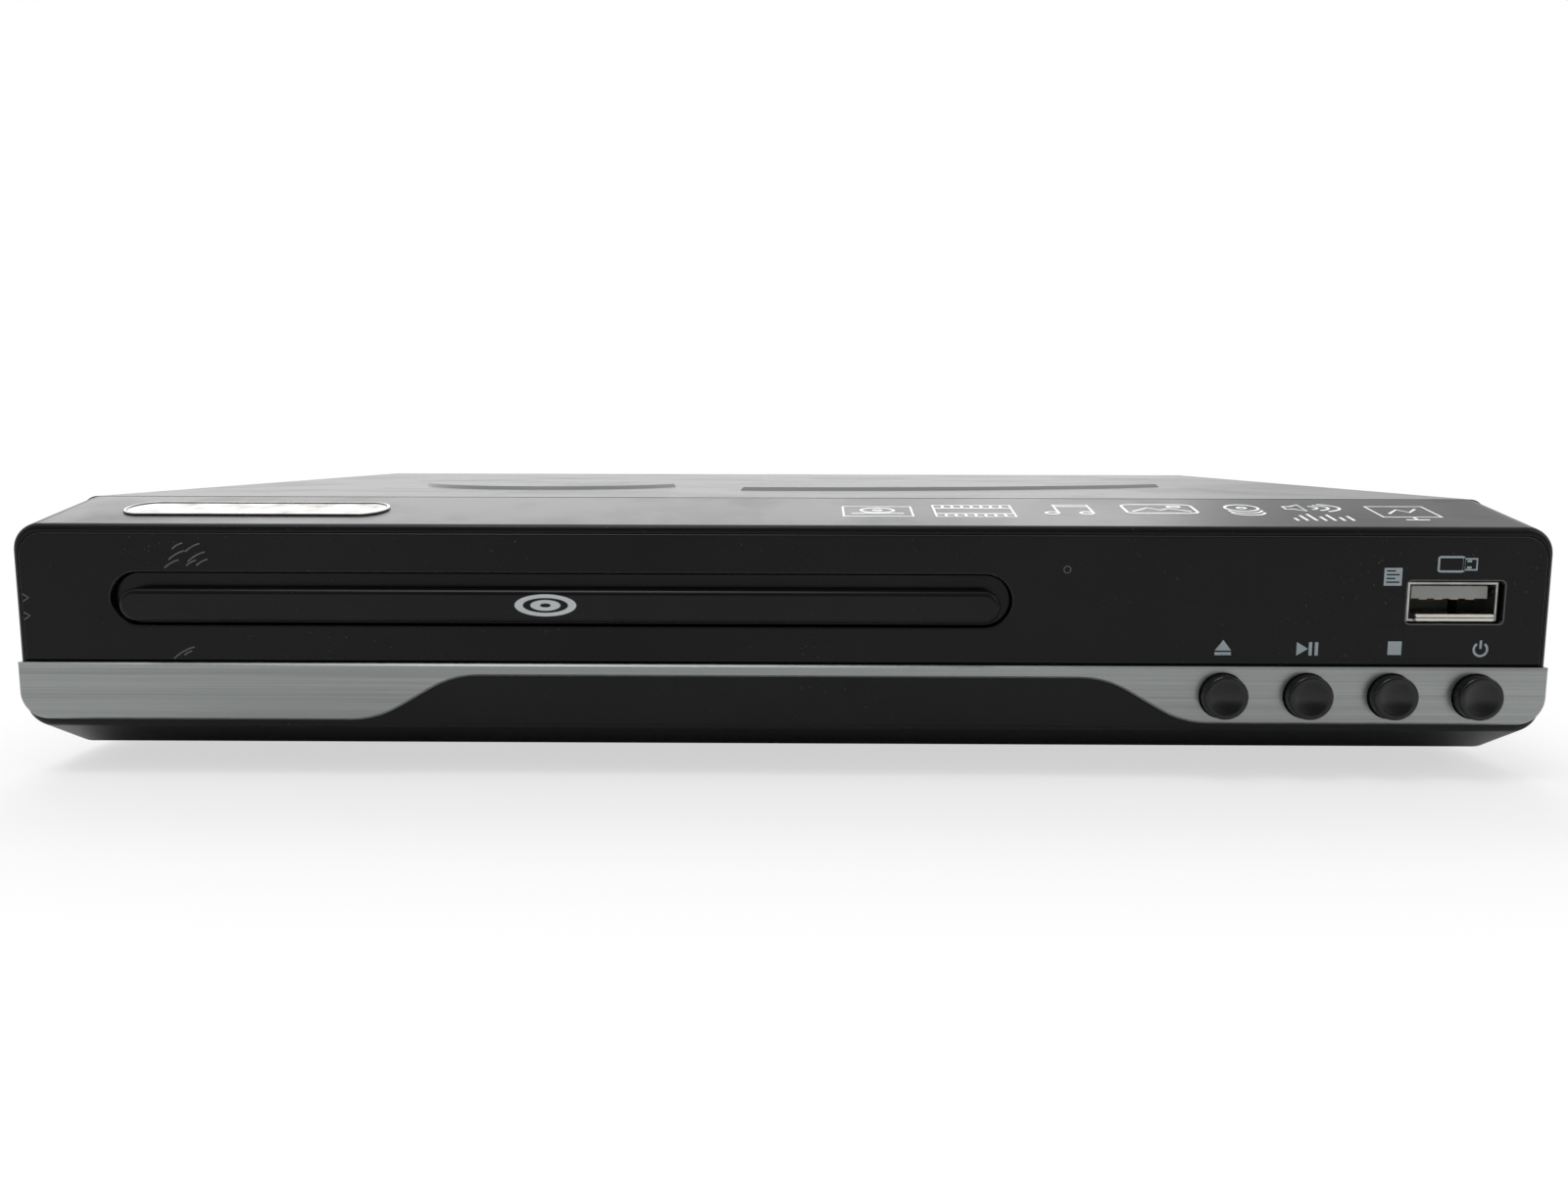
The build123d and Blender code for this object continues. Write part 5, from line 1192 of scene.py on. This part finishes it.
@dataclass
class FrontFace:
    """The upright front: smoked window, signs, door mark, silver trim and the marks that use has left.

    Attributes:
        edge: The radius of the window's edges.
        slot: The tray slot's width and height.
        socket: The socket cut-out's width and height.
        sign: The width of the signs' lines.
        sign_row: The height of the row of signs over the buttons.
        stick_box: The box of the memory-stick sign: left, right, low and high.
        box_sign: The lower left corner of the boxed sign.
        disc_sign: The middle of the disc on the tray's door.
        scratched: The middle of the scratched place on the window.
        cap_radius: The radius of a button's cap.
        rim: The radius of its rounded rim.
        dish_radius: The radius of the dish in its face.
        dish_depth: How deep the dish is in the middle.
    """

    edge: float = 0.22
    slot: Point = (132.5, 7.9)
    socket: Point = (14.05, 6.2)
    sign: float = 0.34
    sign_row: float = 19.8
    stick_box: tuple[float, float, float, float] = (95.7, 101.2, 31.1, 33.2)
    box_sign: Point = (87.9, 29.0)
    disc_sign: Point = (-33.85, 25.9)
    scratched: Point = (-86.6, 33.0)
    cap_radius: float = 3.25
    rim: float = 0.42
    dish_radius: float = 2.5
    dish_depth: float = 0.55

    def build(self, finishes: Finishes) -> None:
        """Makes the window and prints what stands on it."""
        self.window(finishes)
        self.signs(finishes)
        self.door_mark(finishes)
        self.handling(finishes)
        self.socket_lip(finishes)
        dress(finishes.panel, "front_panel")
        dress(finishes.trim, "silver_trim")
        dress(finishes.door, "tray_door")
        for name in ("eject", "play", "stop", "power"):
            self.button(name + "_button", finishes)
        dress(finishes.display, "display_module", "ir_receiver")
        dress(finishes.paper, "front_board")
        dress(finishes.chip, "key_switches")
        dress(finishes.board, "usb_board")
        dress(finishes.shell, "usb_shell")
        dress(finishes.tongue, "usb_tongue")
        dress(finishes.gold, "usb_contacts")

    def centre(self, node: str) -> Point:
        """Returns a node's middle seen from the front, in millimetres."""
        low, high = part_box(node)
        return (low.x + high.x) / 2 / MM, (low.z + high.z) / 2 / MM

    def window(self, finishes: Finishes) -> None:
        """Makes the smoked window with soft edges all round, its slot and its socket cut-out too."""
        low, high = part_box("front_lens")
        left, right, bottom, top = (v / MM for v in (low.x, high.x, low.z, high.z))
        door, shell = self.centre("tray_door"), self.centre("usb_shell")
        width, height = self.socket
        x, z = shell[0] - width / 2, shell[1] - height / 2
        outlines = [
            rounded(corners_of(left, right, bottom, top), [0.05, 0.05, 3.5, 3.5]),
            pill(door[0], door[1], *self.slot, steps=14),
            rounded(corners_of(x, x + width, z, z + height), [0.6] * 4, 4),
        ]
        thickness = (high.y - low.y) / MM
        mesh = plate("smoked_window", outlines, thickness, self.edge, front_plane(high.y))
        piece("smoked_window", mesh, PLAYER, finishes.lens, ("front_lens",))

    def button(self, node: str, finishes: Finishes) -> None:
        """Turns a button with a smooth dish and a soft rim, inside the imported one's own box."""
        low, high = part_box(node)
        x, z = self.centre(node)
        length, flange = (high.y - low.y) / MM, (high.x - low.x) / 2 / MM
        shares = [i / 10 for i in range(11)]
        dish = [(self.dish_radius * t, self.dish_depth * (1 - t * t)) for t in shares]
        start, turns = self.cap_radius - self.rim, [i * math.pi / 16 for i in range(9)]
        rim = [(start + self.rim * math.sin(a), self.rim * (1 - math.cos(a))) for a in turns]
        back, pin = length - 5.0, 1.6
        skirt = [(self.cap_radius, back), (flange, back + 0.02), (flange, back + 1)]
        stem = [(pin, back + 1.02), (pin, length), (0, length)]
        profile = [(radius, -depth) for radius, depth in dish + rim + skirt + stem]
        place = Matrix.Translation((x * MM, low.y, z * MM)) @ Matrix.Rotation(math.pi / 2, 4, "X")
        name = node.replace("button", "cap")
        piece(name, lathe(node, profile, place), node, finishes.button, (node,), 50)

    def signs(self, finishes: Finishes) -> None:
        """Prints the button signs, the stick sign over the socket and the sensor sign."""
        face = front_plane(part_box("front_lens")[0].y + 0.01 * MM)
        flat, stroke = [], []

        def fill(*outlines: Sequence[Point]) -> None:
            """Adds a solid sign."""
            flat.append(plate("sign", outlines, INK_THICKNESS, 0.004, face))

        x, z = self.centre("eject_button")[0], self.sign_row
        fill([(x - 1.2, z - 0.45), (x + 1.2, z - 0.45), (x, z + 1.13)])
        fill(corners_of(x - 1.2, x + 1.2, z - 1.13, z - 0.68))
        x, z = self.centre("play_button")[0], self.sign_row - 0.15
        fill([(x - 1.57, z - 1.0), (x + 0.1, z), (x - 1.57, z + 1.0)])
        for left in (x + 0.2, x + 1.08):
            fill(corners_of(left, left + 0.48, z - 1.0, z + 1.0))
        x, z = self.centre("stop_button")[0] + 0.4, self.sign_row
        fill(corners_of(x - 1, x + 1, z - 1, z + 1))
        x, z, unit = self.centre("power_button")[0] + 0.6, self.sign_row - 0.15, 0.98
        stroke += Pictograms.POWER.value.strokes((x, x + unit, z, z + unit), self.sign, finishes.sign, face)
        stroke += Pictograms.STICK.value.strokes(self.stick_box, self.sign * 0.9, finishes.sign, face)
        (x, z), side = self.box_sign, 2.6
        lines = [corners_of(x + 0.35, x + 0.35 + width, z + up, z + up + 0.22)
                 for up, width in ((0.4, 1.9), (0.95, 1.3), (1.5, 1.9), (2.05, 1.3))]
        fill(corners_of(x, x + side, z, z + side), *lines)
        mesh = joined("button_signs", flat + stroke)
        piece("button_signs", mesh, PLAYER, finishes.sign, angle=20)

    def door_mark(self, finishes: Finishes) -> None:
        """Prints a plain disc on the tray's door."""
        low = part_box("tray_door")[0]
        face = front_plane(low.y + 0.01 * MM)
        x, z = self.disc_sign
        ring = [circle(x, z, 4.5, 64, 0.36), circle(x, z, 3.3, 56, 0.33)]
        core = [circle(x, z, 2.2, 48, 0.36), circle(x, z, 0.8, 32, 0.36)]
        meshes = [plate("disc_mark", outlines, INK_THICKNESS, 0.004, face) for outlines in (ring, core)]
        piece("door_mark", joined("door_mark", meshes), "tray", finishes.mark, angle=20)

    @staticmethod
    def swipe(x: float, z: float, length: float) -> list[Point]:
        """Returns a short curved scratch that climbs to the right from its middle's left."""
        half, shares = length / 2, (-1.0, -0.6, -0.2, 0.2, 0.6, 1.0)
        return [(x + half * t, z + half * (0.55 * t - 0.16 * t * t)) for t in shares]

    def handling(self, finishes: Finishes) -> None:
        """Adds the scuffs on the window and the worn edge round the socket."""
        face = front_plane(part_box("front_lens")[0].y - 0.006 * MM)
        x, z = self.scratched
        strokes = ((-1.3, 1.4, 1.6), (0.9, 1.2, 2.2), (-1.5, 0.1, 2.4), (1.4, -0.1, 2.6), (-2.3, -1.2, 2.2),
                   (0.6, -1.1, 1.5), (2.2, -1.0, 1.7), (-1.2, -14.3, 3.2), (-0.6, -14.5, 1.2))
        runs = [self.swipe(x + across, z + up, length) for across, up, length in strokes]
        for height in (26.6, 23.9):
            runs.append([(-111.2, height + 0.5), (-110.3, height), (-111.2, height - 0.6)])
        meshes = [drawn([run], False, 0.2, SCRATCH_THICKNESS, finishes.scuff, face) for run in runs]
        left, right, low, high = self.opening(0.6, 0.4)
        rim = rounded(corners_of(left, right, low, high), [0.7] * 4, 4)
        for loop in (rim, circle(42.0, 31.2, 0.5, 20)):
            meshes.append(drawn([loop], True, 0.12, SCRATCH_THICKNESS, finishes.scuff, face))
        scuffs = joined("window_scuffs", meshes)
        piece("window_scuffs", scuffs, PLAYER, finishes.scuff, angle=20)

    @staticmethod
    def opening(aside: float, above: float) -> tuple[float, float, float, float]:
        """Returns the socket shell's left, right, low and high, grown by so much each way."""
        low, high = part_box("usb_shell")
        return low.x / MM - aside, high.x / MM + aside, low.z / MM - above, high.z / MM + above

    def socket_lip(self, finishes: Finishes) -> None:
        """Sets the two pale strips that close the socket's mouth below its tongue."""
        left, right, bottom, _ = self.opening(0.0, -0.04)
        face = front_plane(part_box("usb_shell")[0].y - 0.08 * MM)
        strips = []
        for z in (bottom, bottom + 0.56):
            outline = rounded(corners_of(left + 1.15, right - 0.65, z, z + 0.44), [0.12] * 4, 4)
            strips.append(plate("strip", [outline], 0.5, 0.05, face))
        piece("socket_lip", joined("socket_lip", strips), PLAYER, finishes.natural)


@dataclass
class Loader:
    """The tray and the train that drives it: finishes for the moving plastics and the motor."""

    def build(self, finishes: Finishes) -> None:
        """Dresses the loader's nodes."""
        dress(finishes.tray, "disc_tray")
        dress(finishes.frame, "loader_frame", "lift_frame", "turntable", "pickup_sled")
        dress(finishes.natural, "drive_gear", "pulley_gear", "motor_pulley", "cam_slider", "clamp_puck")
        dress(finishes.steel, "clamp_bridge", "deck_plate")
        dress(finishes.can, "loading_motor", "spindle_motor", "sled_motor")
        dress(finishes.belt, "drive_belt")
        dress(finishes.rubber, "deck_grommets")
        dress(finishes.rod, "guide_rods", "lead_screw")
        dress(finishes.nickel, "loader_screws", "deck_screws")
        dress(finishes.glass, "pickup_lens")


@dataclass
class Electronics:
    """The boards inside and what stands on them."""

    def build(self, finishes: Finishes) -> None:
        """Dresses the boards' nodes."""
        dress(finishes.board, "main_board")
        dress(finishes.paper, "power_board")
        dress(finishes.chip, "board_chips")
        dress(finishes.natural, "board_connectors")
        dress(finishes.sleeve, "board_capacitors")
        dress(finishes.tape, "transformer")
        dress(finishes.fins, "heat_sink")
        dress(finishes.nickel, "board_screws")
        dress(finishes.cable, "flat_cables")
        dress(finishes.sheath, "usb_cable")


@dataclass
class Case:
    """The folded cover, the chassis, the rear panel, the feet and the screws that show.

    Attributes:
        shank: The radius of the case screws' shanks.
    """

    shank: float = 1.15

    def build(self, finishes: Finishes) -> None:
        """Dresses the sheet metal and sets the screws."""
        dress(finishes.cover, "top_cover", "rear_panel")
        dress(finishes.steel, "bottom_chassis")
        dress(finishes.rubber, "rubber_feet")
        dress(finishes.socket, "jack_block", "mains_inlet")
        dress(finishes.nickel, "jack_shells", "inlet_pins")
        dress(finishes.jacks, "jack_inserts")
        self.rear_screws(finishes)

    def rear_screws(self, finishes: Finishes) -> None:
        """Replaces the plain rear screws with cross-recessed ones of the same size and place."""
        meshes = []
        for low, high in solids_of("case_screws"):
            radius = (high.x - low.x) / 2
            height = 0.0018 if radius > 0.0025 else 0.0014
            head = Vector(((low.x + high.x) / 2, high.y - height, (low.z + high.z) / 2))
            sizes = {"Radius": radius, "Height": height, "Shank": self.shank * MM, "Length": head.y - low.y}
            turned = (-math.pi / 2, 0, 0)
            meshes.append(SCREWS.run("screw", points_mesh([head]), finishes.nickel, Rotation=turned, **sizes))
        mesh = joined("rear_screws", meshes)
        piece("rear_screws", mesh, PLAYER, finishes.nickel, ("case_screws",), 25)


# ---- Studio --------------------------------------------------------------------------------------
@dataclass
class Studio:
    """A plain pale floor, soft lamps, and the camera at the photograph's angle.

    Attributes:
        floor: The floor's colour.
        near_white: How far the floor by the player fades to the background's white, seen directly.
        front_level: How bright the room is on the viewer's side, where 1 is white.
        camera_place: The camera in the player's front frame: across, depth from the face, height.
        yaw: How far the view turns to the left, in degrees.
        pitch: How far it looks down, in degrees.
        roll: How far the image turns, in degrees.
        lens: The focal length for a 36 mm frame.
    """

    floor: Colour = (0.90, 0.90, 0.895)
    near_white: float = 0.62
    front_level: float = 0.16
    camera_place: tuple[float, float, float] = (2.34, -170.36, 49.31)
    yaw: float = 0.522
    pitch: float = 7.109
    roll: float = 0.125
    lens: float = 26.97

    def build(self) -> None:
        """Sets up the floor, the lamps, the surroundings and the camera."""
        self.ground()
        self.surroundings()
        self.lamp("overhead_lamp", (-0.5, -0.5, 2.4), (1.1, 1.1), 17.0)
        self.lamp("right_lamp", (2.0, -0.9, 1.3), (1.2, 1.2), 5.0)
        self.lamp("back_lamp", (-0.35, 2.1, 1.75), (3.0, 2.2), 44.0)
        self.camera()

    def ground(self) -> None:
        """Lays the floor, which fades into the white background away from the player."""
        mesh = bpy.data.meshes.new("floor")
        mesh.from_pydata([(-30, -30, 0), (30, -30, 0), (30, 30, 0), (-30, 30, 0)], [], [(0, 1, 2, 3)])
        surface = Surface("pale_floor")
        graph = surface.graph
        tone = graph.ramp(graph.noise(surface.coordinates, 3.0, 3.0), 0.3, 0.7)
        surface.feed(
            Base_Color=graph.mix(tone, tinted(self.floor, 0.985), opaque(self.floor)),
            Roughness=graph.ramp(tone, 0.0, 1.0, 0.8, 0.9),
        )
        path = graph.add("ShaderNodeLightPath").outputs
        mirrored = graph.largest(path["Is Glossy Ray"], path["Is Transmission Ray"])
        length = graph.add("ShaderNodeVectorMath", {0: surface.coordinates}, operation="LENGTH")
        away = length.outputs["Value"]
        seen = graph.product(path["Is Camera Ray"], graph.ramp(away, 0.15, 0.75, self.near_white, 1.0))
        fade = graph.largest(seen, graph.product(mirrored, graph.ramp(away, 0.6, 2.5)))
        white = graph.add("ShaderNodeEmission", {"Color": (1, 1, 1, 1), "Strength": 1.0}).outputs[0]
        blend = graph.add("ShaderNodeMixShader", {0: fade, 1: surface.shader.outputs[0], 2: white}).outputs[0]
        graph.tree.links.new(blend, surface.output.inputs["Surface"])
        mesh.materials.append(surface.material)
        floor = bpy.data.objects.new("floor", mesh)
        bpy.context.scene.collection.objects.link(floor)

    def surroundings(self) -> None:
        """Makes a pale room: white behind the player, and dimmer towards the one who looks at it."""
        world = bpy.data.worlds.new("room")
        bpy.context.scene.world = world
        world.use_nodes = True
        world.node_tree.nodes.clear()
        graph = Graph(world.node_tree)
        towards = graph.add("ShaderNodeTexCoord").outputs["Generated"]
        depth = graph.add("ShaderNodeSeparateXYZ", {0: towards}).outputs[1]
        strength = graph.ramp(depth, -0.9, 0.45, self.front_level, 1.0)
        room = graph.add("ShaderNodeBackground", {"Color": (1, 1, 1, 1), "Strength": strength})
        graph.add("ShaderNodeOutputWorld", {"Surface": room.outputs[0]})

    def lamp(self, name: str, place: Sequence[float], size: Point, watts: float) -> None:
        """Adds a flat soft lamp that looks at the player.

        Args:
            name: The lamp's name.
            place: Where it stands, in metres.
            size: The width and height of its face, in metres.
            watts: Its power.
        """
        light = bpy.data.lights.new(name, "AREA")
        light.shape = "RECTANGLE"
        light.size, light.size_y = size
        light.energy = watts
        lamp = bpy.data.objects.new(name, light)
        lamp.location = place
        lamp.rotation_euler = (Vector((0, 0, 0.02)) - Vector(place)).to_track_quat("-Z", "Y").to_euler()
        bpy.context.scene.collection.objects.link(lamp)

    def camera(self) -> None:
        """Places the camera where the photograph was taken from."""
        yaw, pitch, roll = (math.radians(a) for a in (self.yaw, self.pitch, self.roll))
        right = Vector((math.cos(yaw), math.sin(yaw), 0))
        ahead = Vector((-math.sin(yaw), math.cos(yaw), 0))
        look = ahead * math.cos(pitch) - Vector((0, 0, math.sin(pitch)))
        up = ahead * math.sin(pitch) + Vector((0, 0, math.cos(pitch)))
        across = right * math.cos(roll) + up * math.sin(roll)
        upright = up * math.cos(roll) - right * math.sin(roll)
        x, depth, z = self.camera_place
        place = Vector((x * MM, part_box("front_panel")[0].y + depth * MM, z * MM))
        data = bpy.data.cameras.new("camera")
        data.lens = self.lens
        data.sensor_width = 36.0
        data.clip_start = 0.01
        camera = bpy.data.objects.new("camera", data)
        bpy.context.scene.collection.objects.link(camera)
        columns = Matrix((across, upright, -look)).transposed().to_4x4()
        columns.translation = place
        camera.matrix_world = columns
        bpy.context.scene.camera = camera


def main() -> None:
    """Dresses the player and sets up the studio."""
    logging.basicConfig(level=logging.INFO, format="%(name)s: %(message)s")
    bpy.context.scene.view_settings.view_transform = "Standard"
    finishes = Finishes()
    Studio().build()
    for assembly in (FrontFace(), PrintedWing(), Loader(), Electronics(), Case()):
        assembly.build(finishes)


if __name__ == "__main__":
    main()
